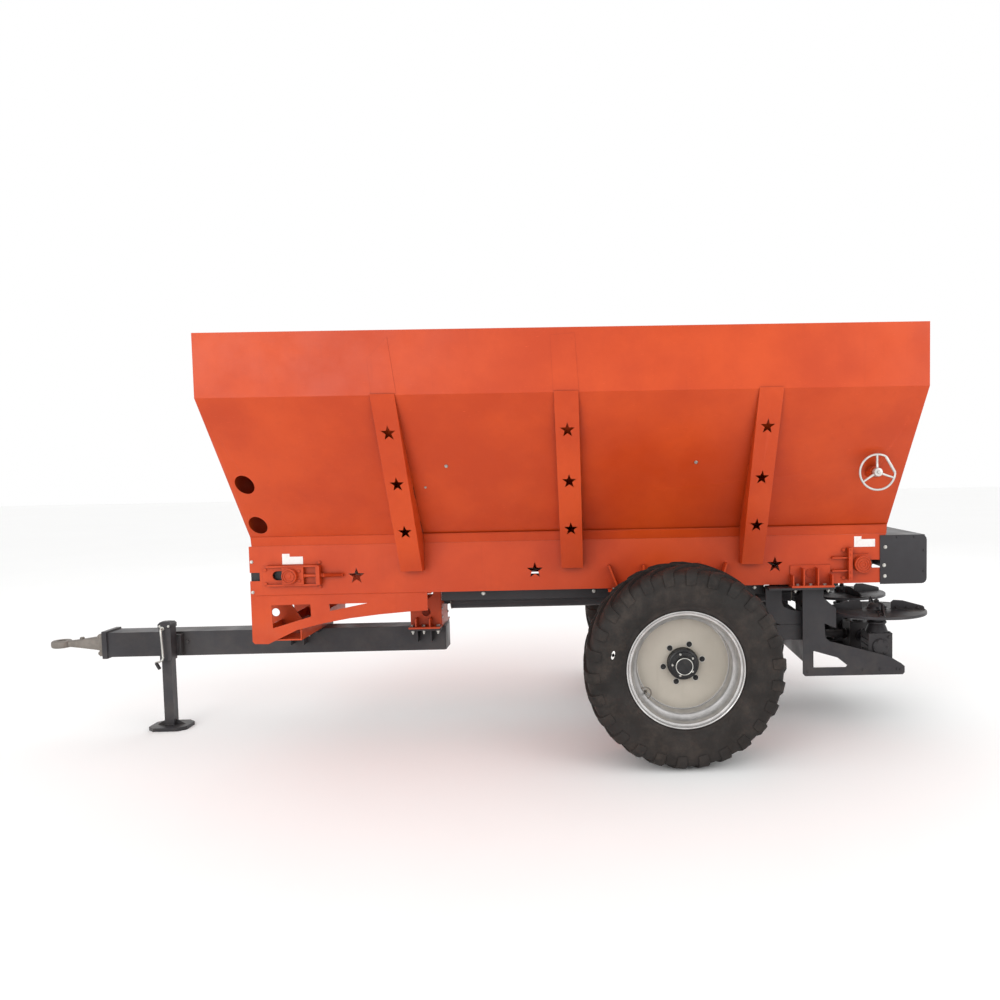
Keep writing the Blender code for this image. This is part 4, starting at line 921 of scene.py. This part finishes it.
def bearing_trim(side, word):
    """Rings, bolts and welds of the rear bearing and of the frame bracket."""
    out = Y * side
    x, z, wall = DRIVE_X, BEARING_Z, BEAM_WALL
    shape = Shape()
    face = side * (wall + 0.055)
    round_rings(shape, at(x, face, z), out, (0.0440, 0.0315, 0.017))
    shape.bolt(at(x, face, z), out, 0.006, washer=False)
    for bolt_x, bolt_z in ((0.990, 1.031), (0.988, 0.872)):
        shape.bolt(at(bolt_x, side * (wall + 0.001), bolt_z), out, 0.012)
    for spot in (0.085, 0.055, -0.045, -0.078):
        shape.bolt(at(x - 0.067, side * (wall + 0.0455), z + spot), out, 0.0055, washer=False)
    for shift in (-0.037, 0.037):
        for edge in (-0.0055, 0.0055):
            shape.weld(
                at(x - 0.165, side * wall, z + shift + edge),
                at(x - 0.080, side * wall, z + shift + edge), 0.0026,
            )
    round_rings(shape, at(0.796, side * 0.4484, 0.903), out, (0.023,), 0.003, 0.003)
    for rib_x in (0.744, 0.826):
        plate_welds(shape, rib_x, side * 0.4495, 0.845, 0.935)
    shape.piece(f"{word}_bearing_trim", "chassis", ORANGE, "orange_paint")
    bolts = Shape()
    for bolt_x in (0.713, 0.788, 0.868):
        bolts.bolt(at(bolt_x, side * 0.484, 0.8376), Z, 0.011)
    for bolt_x in (0.700, 0.888):
        bolts.bolt(at(bolt_x, side * 0.484, 0.8135), -Z, 0.011, nut=True, stick=0.004)
    bolts.piece(f"{word}_bracket_bolts", "chassis", ZINC, "zinc_steel")


# ---------------------------------------------------------------- conveyor and gate


def chain_path(distance):
    """Point and direction at a distance along the chain's loop."""
    radius, ends, z = CHAIN_RADIUS, (IDLER_X, DRIVE_X), BEARING_Z
    straight = ends[1] - ends[0]
    arc = math.pi * radius
    distance %= 2 * (straight + arc)
    if distance < straight:
        return Vector((ends[0] + distance, 0, z + radius)), Vector((1, 0, 0))
    distance -= straight
    if distance < arc:
        angle = math.pi / 2 - distance / radius
        spot = Vector((ends[1] + radius * math.cos(angle), 0, z + radius * math.sin(angle)))
        return spot, Vector((math.sin(angle), 0, -math.cos(angle)))
    distance -= arc
    if distance < straight:
        return Vector((ends[1] - distance, 0, z - radius)), Vector((-1, 0, 0))
    distance -= straight
    angle = -math.pi / 2 - distance / radius
    spot = Vector((ends[0] + radius * math.cos(angle), 0, z + radius * math.sin(angle)))
    return spot, Vector((math.sin(angle), 0, -math.cos(angle)))


def conveyor_chain():
    """Two round-link chains with angle slats."""
    shape = Shape()
    loop = 2 * (DRIVE_X - IDLER_X + math.pi * CHAIN_RADIUS)
    count = 2 * int(loop / 0.044 / 2)
    pitch = loop / count
    for side in (LEFT, RIGHT):
        for link in range(count):
            spot, along = chain_path(link * pitch)
            spot += Vector((AXLE_X, side * 0.36, 0))
            outward = Vector((-along.z, 0, along.x))
            across = Y if link % 2 else outward
            half, width, wire = pitch * 0.5 + 0.0015, 0.0085, 0.0042
            points = []
            for step in range(12):
                angle = math.tau * step / 12
                reach = half * math.cos(angle) + math.copysign(0.0035, math.cos(angle)) * (
                    abs(math.cos(angle)) > 0.1
                )
                points.append(spot + along * reach + across * (width * math.sin(angle)))
            shape.tube(points, wire, 5, closed=True)
    for index in range(12):
        x = IDLER_X + 0.06 + index * 0.29
        for sign, z in ((1, BEARING_Z + 0.083), (-1, BEARING_Z - 0.083 - 0.022)):
            low, high = at(x - 0.022, -0.398, z), at(x + 0.022, 0.398, z + 0.022)
            if sign > 0:
                shape.box(low, (high.x, high.y, low.z + 0.006), 0.001)
                shape.box((low.x + 0.003, low.y, low.z + 0.004), (low.x + 0.009, high.y, high.z), 0.001)
            else:
                shape.box((low.x, low.y, high.z - 0.006), high, 0.001)
                shape.box(
                    (low.x + 0.003, low.y, low.z + 0.0005), (low.x + 0.009, high.y, high.z - 0.004),
                    0.001,
                )
    obj = shape.piece("conveyor_round_links", "chassis", STEEL, "worn_steel", 40)
    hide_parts("conveyor_chain")


def gear_ring(shape, centre, width, root, tip, teeth):
    """A straight gear that turns round Y."""
    outline = []
    for tooth in range(teeth):
        base = math.tau * tooth / teeth
        step = math.tau / teeth
        for share, radius in ((0.0, root), (0.22, root), (0.36, tip), (0.60, tip), (0.76, root)):
            angle = base + step * share
            outline.append((radius * math.cos(angle), radius * math.sin(angle)))
    rings = [[centre + Vector((x, y, z)) for x, z in outline] for y in (-width / 2, width / 2)]
    shape.add_points(rings)


def gate_parts():
    """Toothed racks on the gate, the cross shaft with its gears, the handwheel, the frame's bolts."""
    low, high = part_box("rear_gate")
    teeth = Shape()
    for side in (LEFT, RIGHT):
        for index in range(29):
            z = 1.156 + index * 0.0128
            rings = []
            for reach, half in ((-0.0005, 0.0040), (0.0045, 0.0020)):
                corners = ((-0.0118, -half), (0.0118, -half), (0.0118, half), (-0.0118, half))
                rings.append(
                    [Vector((high.x + reach, side * RACK_Y + y, z + rise)) for y, rise in corners]
                )
            teeth.add_points(rings)
        for z in (1.17, 1.30, 1.40):
            for edge in (-0.014, 0.014):
                teeth.weld(
                    (high.x - 0.0185, side * RACK_Y + edge, z - 0.02),
                    (high.x - 0.0185, side * RACK_Y + edge, z + 0.02), 0.0028,
                )
    teeth.piece("gate_rack_teeth", "gate", ORANGE, "orange_paint")
    shaft = Shape()
    centre = at(GATE_SHAFT_X, 0, GATE_SHAFT_Z)
    shaft.rod(centre + Vector((0, -0.820, 0)), centre + Vector((0, 0.470, 0)), 0.0138, steps=24, edge=0.002)
    for side in (LEFT, RIGHT):
        spot = centre + Vector((0, side * RACK_Y, 0))
        gear_ring(shaft, spot, 0.026, 0.0345, 0.0405, 16)
        shaft.rod(spot - Y * 0.020, spot + Y * 0.020, 0.022, steps=24, edge=0.0015)
        shaft.bolt(spot + Vector((0, side * -0.017, 0.0215)), Z, 0.006, washer=False)
    obj = shaft.piece("gate_shaft_gears", "gate_control", ZINC, "zinc_steel", 30)
    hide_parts("gate_shaft")

    wheel = Shape()
    centre = at(GATE_SHAFT_X, HANDWHEEL_Y, GATE_SHAFT_Z)
    radius = 0.0935
    ends = (math.radians(62), math.radians(62 + 295))
    arc = [
        centre + Vector((radius * math.cos(a), 0, radius * math.sin(a)))
        for a in (ends[0] + (ends[1] - ends[0]) * step / 60 for step in range(61))
    ]
    wheel.tube(arc, 0.0060, 12)
    grip = [arc[0], arc[0].lerp(arc[-1], 0.06), arc[0].lerp(arc[-1], 0.94), arc[-1]]
    wheel.tube(grip, [0.0060, 0.0078, 0.0078, 0.0060], 14)
    for angle in (math.pi / 2 + 0.02, math.radians(213), math.radians(340)):
        tip = centre + Vector((radius * math.cos(angle), 0, radius * math.sin(angle)))
        middle = centre.lerp(tip, 0.55) + Vector((0, 0.004, 0))
        wheel.tube(
            [centre, centre.lerp(tip, 0.25) + Vector((0, 0.003, 0)), middle, tip],
            [0.0085, 0.0072, 0.0058, 0.0060], 12,
        )
    wheel.lathe(
        [
            (0, -0.019), (0.010, -0.019), (0.014, -0.0175), (0.021, -0.0165), (0.0235, -0.013),
            (0.0240, 0.016), (0.022, 0.019), (0.0145, 0.0195), (0.0145, -0.0095), (0, -0.0095),
        ],
        centre,
        Y,
        40,
    )
    wheel.bolt(centre + Vector((0, -0.0185, 0)), -Y, 0.009)
    obj = wheel.piece("handwheel_ring", "gate_control", CAST, "zinc_steel", 40)
    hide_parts("handwheel")
    plate = Shape()
    low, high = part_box("gate_frame")
    for side in (LEFT, RIGHT):
        for z in (1.27, 1.38, 1.60, 1.75):
            plate.bolt(Vector((low.x + 0.0176, side * (high.y - 0.017), z)), X, 0.009)
    plate.piece("gate_frame_bolts", "chassis", ZINC, "zinc_steel")


def reducer_trim():
    """Fins, cover screws and plugs of the conveyor's reduction gearbox."""
    shape = Shape()
    x, z, y = DRIVE_X, BEARING_Z, 0.4978
    for fin in range(9):
        start = x - 0.235 + fin * 0.016
        shape.lathe(
            [(0.0445, 0), (0.0515, 0), (0.0515, 0.006), (0.0445, 0.006)],
            at(start, y + 0.065, z - 0.02), X, 40, ring=True,
        )
    for spot in circle(at(x, y + 0.1470, z), 0.044, 6, second=Z):
        shape.bolt(spot, Y, 0.007)
    for x_shift in (-0.070, 0.070):
        for z_shift in (-0.070, 0.070):
            shape.bolt(at(x + x_shift, y + 0.1300, z + z_shift), Y, 0.009)
    for fin in range(5):
        spot = -0.05 + 0.025 * fin
        for inner, outer in ((-0.080, -0.0915), (0.0845, 0.0900)):
            shape.box(
                at(x + inner, y + 0.02, z + spot - 0.002), at(x + outer, y + 0.12, z + spot + 0.002),
                0.0006,
            )
    shape.bolt(at(x, y + 0.04, z + 0.085), Z, 0.012)
    shape.piece("reducer_fins", "chassis", GREY, "dark_grey_paint")


# ---------------------------------------------------------------- drawbar


def drawbar_parts():
    """Bolts, welds and end cap of the drawbar and its brackets."""
    bolts = Shape()
    for side in (LEFT, RIGHT):
        for x in (-1.557, -1.490, -1.404):
            bolts.bolt(at(x, side * 0.140, 0.5856), Z, 0.0125)
            bolts.bolt(at(x, side * 0.140, 0.5608), -Z, 0.0125, nut=True, stick=0.006)
        for x in (-2.264, -2.187):
            bolts.bolt(at(x, side * 0.135, 0.5836), Z, 0.0115)
            bolts.bolt(at(x, side * 0.135, 0.5608), -Z, 0.0115, nut=True, stick=0.005)
        for z in (0.745, 0.687, 0.635):
            bolts.bolt(at(-1.385, side * 0.098, z), X, 0.008)
    bolts.piece("drawbar_bolts", "chassis", ZINC, "zinc_steel")
    dark = Shape()
    dark.bolt(at(-2.950, -0.0752, 0.512), -Y, 0.012)
    for z in (0.455, 0.545):
        dark.bolt(at(-3.0768, -0.1140, z), -Y, 0.006)
        dark.bolt(at(-2.9865, -0.1140, z), -Y, 0.006)
    dark.piece("drawbar_face_bolts", "chassis", GREY, "dark_grey_paint")
    welds = Shape()
    half = 0.0765
    x = -3.438
    low, high = DRAWBAR_Z - half, DRAWBAR_Z + half
    corners = [(half, high), (-half, high), (-half, low), (half, low)]
    for (y1, z1), (y2, z2) in sides_of(corners):
        welds.weld(at(x, y1, z1), at(x, y2, z2), 0.0036)
    for side in (LEFT, RIGHT):
        for start, end in ((-2.315, -2.130), (-1.575, -1.385)):
            welds.weld(at(start, side * 0.0765, 0.5595), at(end, side * 0.0765, 0.5595), 0.003)
        for x in (-2.300, -2.222, -1.532, -1.448):
            plate_welds(welds, x, side * 0.0765, 0.490, 0.556)
    welds.piece("drawbar_welds", "chassis", GREY, "dark_grey_paint")
    cap = Shape()
    cap.box(at(-1.3755, -0.0735, 0.4265), at(-1.3685, 0.0735, 0.5735), 0.002)
    cap.piece("drawbar_end_cap", "chassis", GREY, "dark_grey_paint")
    joints = Shape()
    for side in (LEFT, RIGHT):
        for x in (-1.532, -1.448):
            plate_welds(joints, x, side * 0.1140, 0.590, 0.634)
        joints.weld(at(-1.57, side * 0.1145, 0.5870), at(-1.39, side * 0.1145, 0.5870), 0.003)
        joints.weld(at(-1.434, side * 0.4405, 0.8365), at(-1.410, side * 0.4405, 0.8365), 0.003)
    joints.piece("bracket_welds", "chassis", ORANGE, "orange_paint")


def tow_eye():
    """Forged eye: rounded ring, tapering shank with flats, bolted flange."""
    shape = Shape()
    z = DRAWBAR_Z
    centre = at(-3.762, 0, z)
    shape.lathe(
        [
            (0.0262, -0.019), (0.0285, -0.021), (0.050, -0.021), (0.0560, -0.016), (0.0579, -0.007),
            (0.0579, 0.007), (0.0560, 0.016), (0.050, 0.021), (0.0285, 0.021), (0.0262, 0.019),
        ],
        centre,
        Z,
        72,
        ring=True,
    )
    rings = []
    for x, width, height in (
        (-3.716, 0.026, 0.019), (-3.690, 0.025, 0.021), (-3.640, 0.029, 0.027), (-3.560, 0.034, 0.038),
        (-3.505, 0.038, 0.047), (-3.4895, 0.050, 0.056),
    ):
        ring = []
        for step in range(24):
            angle = math.tau * step / 24
            c, s = math.cos(angle), math.sin(angle)
            ring.append(
                at(
                    x, math.copysign(abs(c) ** 0.55, c) * width,
                    z + math.copysign(abs(s) ** 0.55, s) * height,
                )
            )
        rings.append(ring)
    shape.add_points(rings)
    shape.box(at(-3.4915, -0.074, z - 0.069), at(-3.4697, 0.074, z + 0.069), 0.003)
    shape.lathe(
        [(0.0, 0.012), (0.010, 0.012), (0.013, 0.009), (0.013, -0.01)], at(-3.636, 0, z + 0.0275), Z,
        24,
    )
    for side in (LEFT, RIGHT):
        for dz in (-0.052, 0.052):
            shape.bolt(at(-3.4915, side * 0.060, z + dz), -X, 0.013)
    obj = shape.piece("tow_eye_forging", "chassis", FORGED, "zinc_steel", 32)
    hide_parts("tow_eye")


def jack_parts():
    """Cap, crank, screws and welds of the parking jack."""
    x, y, top = JACK_X, JACK_Y, JACK_TOP
    head = Shape()
    rings = []
    for half, z in (
        (0.0352, top - 0.005), (0.0385, top - 0.0045), (0.0385, top - 0.0005), (0.030, top + 0.0115),
    ):
        rings.append(
            [at(x + sx * half, y + sy * half, z) for sx, sy in ((-1, -1), (1, -1), (1, 1), (-1, 1))]
        )
    head.add_points(rings)
    for sign in (-1, 1):
        inner, outer = sorted((sign * 0.0352, sign * 0.0385))
        low, high = top - 0.022, top - 0.004
        head.box(at(x + inner, y - 0.0385, low), at(x + outer, y + 0.0385, high), 0.0008)
        head.box(at(x - 0.0385, y + inner, low), at(x + 0.0385, y + outer, high), 0.0008)
    head.piece("jack_cap", "chassis", GREY, "dark_grey_paint", 25)
    small = Shape()
    for sx in (-0.026, 0.026):
        small.bolt(at(x + sx, y - 0.0388, top - 0.012), -Y, 0.0065)
    small.bolt(at(x, y, top + 0.0118), Z, 0.0045, washer=False)
    small.piece("jack_screws", "chassis", ZINC, "zinc_steel")
    crank = Shape()
    front = y - 0.035
    path = [
        (x - 0.012, front + 0.002, top - 0.026),
        (x - 0.012, front - 0.016, top - 0.0265),
        (x - 0.0118, front - 0.0225, top - 0.034),
        (x - 0.006, front - 0.025, top - 0.12),
        (x - 0.002, front - 0.027, top - 0.198),
        (x - 0.006, front - 0.031, top - 0.212),
        (x - 0.022, front - 0.040, top - 0.2195),
        (x - 0.040, front - 0.050, top - 0.2235),
    ]
    curve = []
    for start, end in zip(path, path[1:]):
        curve += [at(*[a + (b - a) * share for a, b in zip(start, end)]) for share in (0, 0.5)]
    curve.append(at(*path[-1]))
    crank.tube(curve, 0.0062, 12)
    crank.lathe(
        [(0.0, -0.003), (0.013, -0.003), (0.013, 0.006), (0.0, 0.006)],
        at(x - 0.012, front - 0.003, top - 0.0262), Y, 20,
    )
    obj = crank.piece("jack_crank_rod", "chassis", ZINC, "zinc_steel", 40)
    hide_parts("jack_crank")
    grip = Shape()
    grip.rod(
        at(x - 0.034, front - 0.048, top - 0.2225), at(x - 0.010, front - 0.056, top - 0.258), 0.0095,
        steps=18, edge=0.002,
    )
    grip.piece("jack_crank_grip", "chassis", BLACK, "dark_grey_paint")
    foot = Shape()
    corners = [(-0.028, -0.028), (0.028, -0.028), (0.028, 0.028), (-0.028, 0.028)]
    for (x1, y1), (x2, y2) in sides_of(corners):
        foot.weld(at(x + x1, y + y1, 0.0235), at(x + x2, y + y2, 0.0235), 0.0034)
    for sx in (-1, 1):
        rib = [
            at(x + sx * 0.0275, y - 0.003, 0.0215), at(x + sx * 0.085, y - 0.003, 0.0215),
            at(x + sx * 0.0275, y - 0.003, 0.055),
        ]
        foot.add_points([rib, [point + Y * 0.006 for point in rib]])
    foot.piece("jack_foot_welds", "leg", GREY, "dark_grey_paint")
    seam = Shape()
    for sz in (0.4385, 0.5625):
        seam.weld(at(x - 0.049, -0.0765, sz), at(x + 0.059, -0.0765, sz), 0.003)
    for edge in (-0.036, 0.036):
        seam.weld(at(x + edge, y + 0.0345, 0.44), at(x + edge, y + 0.0345, 0.56), 0.0028)
    seam.piece("jack_welds", "chassis", GREY, "dark_grey_paint")


# ---------------------------------------------------------------- spreading gear and drive


def vane_turn(side, index):
    """Where a vane lies on its disc: near radial, a little off the middle."""
    return (
        Matrix.Rotation(math.radians(side * 6 + 90 * index), 4, "Z")
        @ Matrix.Translation((0, -side * 0.02, 0))
        @ Matrix.Rotation(math.radians(side * 8), 4, "Z")
    )


def disc_body(side, word):
    """Disc with a turned-down edge, a domed hub and four vanes that get lower towards the edge."""
    centre = at(DISC_X, side * DISC_Y, DISC_Z)
    shape = Shape()
    profile = [
        (0.0, 0.045), (0.033, 0.045), (0.036, 0.0435), (0.048, 0.034), (0.058, 0.010),
        (0.064, 0.0065), (0.075, 0.006), (0.2760, 0.006), (0.2790, 0.005), (0.2800, 0.002),
        (0.2800, -0.010), (0.2765, -0.010), (0.2765, 0.0), (0.070, 0.0), (0.060, -0.022),
        (0.0, -0.022),
    ]
    shape.lathe(profile, centre, Z, 96)
    for index in range(4):
        turn = Matrix.Translation(centre) @ vane_turn(side, index)
        rings = []
        for reach, top in ((0.085, 0.046), (0.100, 0.058), (0.150, 0.056), (0.262, 0.027), (0.272, 0.020)):
            section = [
                (-0.003, 0.003), (0.028, 0.003), (0.028, 0.010), (0.003, 0.010), (0.003, top),
                (-0.003, top),
            ]
            rings.append([turn @ Vector((reach, side * y, z)) for y, z in section])
        shape.add_points(rings)
    obj = shape.piece(f"{word}_spinner_disc", f"{word}_spinner", GREY, "dark_grey_paint", 30)
    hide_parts(f"{word}_disc")


def disc_parts(side, word):
    """Bolts, welds, rings and hub nut of a disc; screws, flange and ribs of its gearbox."""
    centre = at(DISC_X, side * DISC_Y, DISC_Z)
    shape = Shape()
    for index in range(4):
        turn = Matrix.Translation(centre) @ vane_turn(side, index)
        for reach in (0.115, 0.175, 0.235):
            spot = turn @ Vector((reach, side * 0.0165, 0.0102))
            shape.bolt(spot, Z, 0.0095, nut=True)
        for reach in (0.095, 0.150, 0.205, 0.255):
            start = turn @ Vector((reach, -side * 0.0048, 0.0068))
            end = turn @ Vector((reach + 0.018, -side * 0.0048, 0.0068))
            shape.weld(start, end, 0.0024)
    for spot in circle(centre + Z * 0.020, 0.0545, 6, 0.3):
        shape.bolt(spot, Z, 0.0075)
    shape.bolt(centre + Z * 0.045, Z, 0.016, nut=True)
    for radius in (0.11, 0.155, 0.20, 0.245):
        round_rings(shape, centre + Z * 0.0058, Z, (radius,), 0.0008, 0.003)
    shape.piece(f"{word}_disc_bolts", f"{word}_spinner", GREY, "dark_grey_paint")

    box = Shape()
    foot = Vector((centre.x, centre.y, 0))
    for sx in (-1, 1):
        for sy in (-1, 1):
            box.bolt(foot + Vector((sx * 0.058, sy * 0.0785, 0.3655)), Z, 0.0062)
            box.bolt(foot + Vector((sx * 0.056, sy * 0.056, 0.5355)), Z, 0.008)
    box.lathe(
        [(0.038, 0), (0.055, 0), (0.057, 0.002), (0.057, 0.010), (0.055, 0.012), (0.038, 0.012)],
        foot + Z * 0.584, Z, 48, ring=True,
    )
    for spot in circle(foot + Z * 0.596, 0.0490, 6):
        box.bolt(spot, Z, 0.006)
    box.lathe(
        [(0.0395, 0), (0.045, 0.001), (0.045, 0.010), (0.0395, 0.011)], foot + Z * 0.622, Z, 40,
        ring=True,
    )
    for fin in range(4):
        z = 0.395 + fin * 0.032
        for sx in (-1, 1):
            box.box(
                foot + Vector((sx * 0.0725 - 0.0035, -0.054, z)),
                foot + Vector((sx * 0.0725 + 0.0035, 0.054, z + 0.005)), 0.001,
            )
    outward = Y * side
    box.lathe(
        [(0.0, 0.010), (0.044, 0.010), (0.048, 0.007), (0.048, -0.002), (0.0, -0.002)],
        foot + Vector((0, side * 0.070, CROSS_SHAFT_Z)), outward, 40,
    )
    for spot in circle(foot + Vector((0, side * 0.080, CROSS_SHAFT_Z)), 0.038, 6, second=Z):
        box.bolt(spot, outward, 0.006)
    box.bolt(foot + Vector((0.050, side * 0.070, 0.512)), outward, 0.009)
    box.piece(f"{word}_gearbox_trim", "chassis", GREY, "dark_grey_paint")


def rear_frame_trim(side, word):
    """Welds and bolts on the rear frame, and the hood's screws."""
    shape = Shape()
    out = Y * side
    shape.weld(at(0.756, side * 0.4510, 0.8130), at(0.868, side * 0.4510, 0.8130), 0.003)
    for z in (0.40, 0.52, 0.64):
        shape.weld(at(0.8045, side * 0.4410, z), at(0.8045, side * 0.4410, z + 0.05), 0.003)
    for x in (1.10, 1.20, 1.30):
        shape.bolt(at(x, side * 0.4502, 0.332), out, 0.007)
    for x, z in ((0.780, 0.330), (1.320, 0.330)):
        shape.bolt(at(x, side * 0.4502, z), out, 0.007)
    shape.piece(f"{word}_frame_trim", "chassis", GREY, "dark_grey_paint")
    hood = Shape()
    for x, z in ((1.30, 1.100), (1.40, 1.100), (1.4555, 1.02), (1.4555, 0.90)):
        hood.bolt(at(x, side * 0.4455, z), out, 0.0065)
    hood.piece(f"{word}_hood_screws", "chassis", GREY, "dark_grey_paint")


def drive_line():
    """Shaft splines and weld rings, chain case cover and screws, cross shaft seals, underframe bolts."""
    shape = Shape()
    centre = at(SHAFT_START, 0, SHAFT_Z)
    for index in range(6):
        turn = Matrix.Translation(centre) @ Matrix.Rotation(math.tau * index / 6, 4, "X")
        corners = [(-0.0035, 0.0165), (0.0035, 0.0165), (0.0028, 0.0195), (-0.0028, 0.0195)]
        shape.add_points([[turn @ Vector((x, y, z)) for y, z in corners] for x in (0.0005, 0.165)])
    for x in (-1.3385, 0.7840):
        shape.lathe(
            [(0.0465, 0), (0.0495, 0.002), (0.0495, 0.005), (0.0465, 0.007)],
            at(x, 0, SHAFT_Z) - X * 0.0035, X, 48, ring=True,
        )
    shape.piece("drive_shaft_splines", "shaft", STEEL, "dark_grey_paint")
    case = Shape()
    outline = [
        (-0.075, 0.432), (0.075, 0.432), (0.075, 0.752), (0.044, 0.775), (-0.044, 0.775),
        (-0.075, 0.752),
    ]
    case.add_points([[at(0.8947 + depth, y, z) for y, z in outline] for depth in (0, 0.003)])
    for x, front in ((0.8376, True), (0.8947, False)):
        for y, z in outline + [(-0.075, 0.54), (0.075, 0.54), (-0.075, 0.65), (0.075, 0.65)]:
            spot = Vector((0, y * 0.9, 0.60 + (z - 0.60) * 0.94))
            case.bolt(at(x + 0.003, spot.y, spot.z), -X if front else X, 0.0065)
    for sx in (-1, 1):
        for sy in (-1, 1):
            case.bolt(at(DISC_X + sx * 0.060, sy * 0.060, 0.5355), Z, 0.009)
    case.lathe([(0, 0.008), (0.030, 0.008), (0.034, 0.004), (0.034, 0)], at(DISC_X, 0, 0.535), Z, 36)
    for side in (LEFT, RIGHT):
        for y in (0.0755, 0.250):
            case.lathe(
                [
                    (0.0235, 0), (0.036, 0), (0.036, 0.012), (0.0235, 0.012),
                ], at(DISC_X, side * y, CROSS_SHAFT_Z),
                Y * side, 36, ring=True,
            )
        for x in (1.120, 0.900):
            case.lathe(
                [(0.0235, 0), (0.034, 0), (0.034, 0.010), (0.0235, 0.010)], at(x, 0, CROSS_SHAFT_Z), X, 36,
                ring=True,
            )
    case.piece("disc_drive_trim", "chassis", GREY, "dark_grey_paint")
    under = Shape()
    for side in (LEFT, RIGHT):
        for x in (-1.10, -0.45, 0.50):
            for dx in (-0.045, 0.045):
                under.bolt(at(x + dx, side * 0.2550, 0.806), Y * -side, 0.008)
            under.bolt(at(x, side * 0.3152, 0.806), Y * side, 0.010)
    under.piece("underframe_bolts", "chassis", ZINC, "zinc_steel")


def axle_trim(side, word):
    """Nuts and screws of the axle's seats."""
    shape = Shape()
    for x in (-0.335, -0.235, 0.215, 0.285):
        shape.bolt(at(x, side * 0.476, 0.8378), Z, 0.011)
        for y in (0.375, 0.476):
            shape.bolt(at(x, side * y, 0.8276), -Z, 0.011, nut=True)
    for x in (-0.068, 0.068):
        for z in (0.560, 0.640, 0.720):
            shape.bolt(at(x, side * 0.4905, z), Y * side, 0.009)
    shape.piece(f"{word}_pedestal_bolts", "chassis", ZINC, "zinc_steel")


# ---------------------------------------------------------------- stage


def stage():
    """Pale floor, soft light and the camera."""
    half = FLOOR_HALF
    mesh = bpy.data.meshes.new("floor")
    mesh.from_pydata(
        [(-half, -half, 0), (half, -half, 0), (half, half, 0), (-half, half, 0)], [], [(0, 1, 2, 3)],
    )
    floor = bpy.data.objects.new("floor", mesh)
    floor.data.materials.append(floor_finish())
    bpy.context.scene.collection.objects.link(floor)

    world = bpy.data.worlds.new("sky")
    bpy.context.scene.world = world
    world.use_nodes = True
    ground = world.node_tree.nodes["Background"]
    ground.inputs["Color"].default_value = (1.0, 1.0, 1.0, 1.0)
    ground.inputs["Strength"].default_value = 1.0

    def lamp(name, place, target, size, power):
        data = bpy.data.lights.new(name, "AREA")
        data.shape = "DISK"
        data.size = size
        data.energy = power
        made = bpy.data.objects.new(name, data)
        bpy.context.scene.collection.objects.link(made)
        made.matrix_world = Matrix.Translation(place) @ facing(Vector(place) - Vector(target))

    lamp("key", (-3.5, -7.5, 3.4), (0.3, -0.6, 1.0), 5.0, 190)
    lamp("fill", (5.5, -5.0, 3.0), (0.8, 0, 0.9), 4.0, 90)
    lamp("back", (1.0, 7.0, 6.0), (0, 0, 1), 6.0, 120)

    yaw, pitch, roll = 0.0181, 0.057, 0.019
    forward = Vector((math.sin(yaw) * math.cos(pitch), math.cos(yaw) * math.cos(pitch), -math.sin(pitch)))
    level = Vector((math.cos(yaw), -math.sin(yaw), 0))
    upright = level.cross(forward)
    right = level * math.cos(roll) - upright * math.sin(roll)
    up = level * math.sin(roll) + upright * math.cos(roll)
    data = bpy.data.cameras.new("camera")
    data.sensor_width = SENSOR_MM
    data.lens = FOCAL_PIXELS * SENSOR_MM / IMAGE_PIXELS
    data.shift_x = (IMAGE_PIXELS / 2 - IMAGE_CENTRE[0]) / IMAGE_PIXELS
    data.shift_y = (IMAGE_CENTRE[1] - IMAGE_PIXELS / 2) / IMAGE_PIXELS
    camera = bpy.data.objects.new("camera", data)
    bpy.context.scene.collection.objects.link(camera)
    rows = Matrix((right, up, -forward)).transposed().to_4x4()
    camera.matrix_world = Matrix.Translation(CAMERA_PLACE) @ rows
    bpy.context.scene.camera = camera
    bpy.context.scene.view_settings.view_transform = "Standard"


dress_frame()
for word, side in SIDES.items():
    tyre_piece(word, side)
    wheel_piece(word, side)
    hub_piece(word, side)
    hopper_trim(side, word)
    tensioner_trim(side, word)
    bearing_trim(side, word)
    disc_body(side, word)
    disc_parts(side, word)
    rear_frame_trim(side, word)
    axle_trim(side, word)
labels()
front_shade_plates()
conveyor_chain()
gate_parts()
reducer_trim()
drawbar_parts()
tow_eye()
jack_parts()
drive_line()
stage()
bpy.context.view_layer.update()
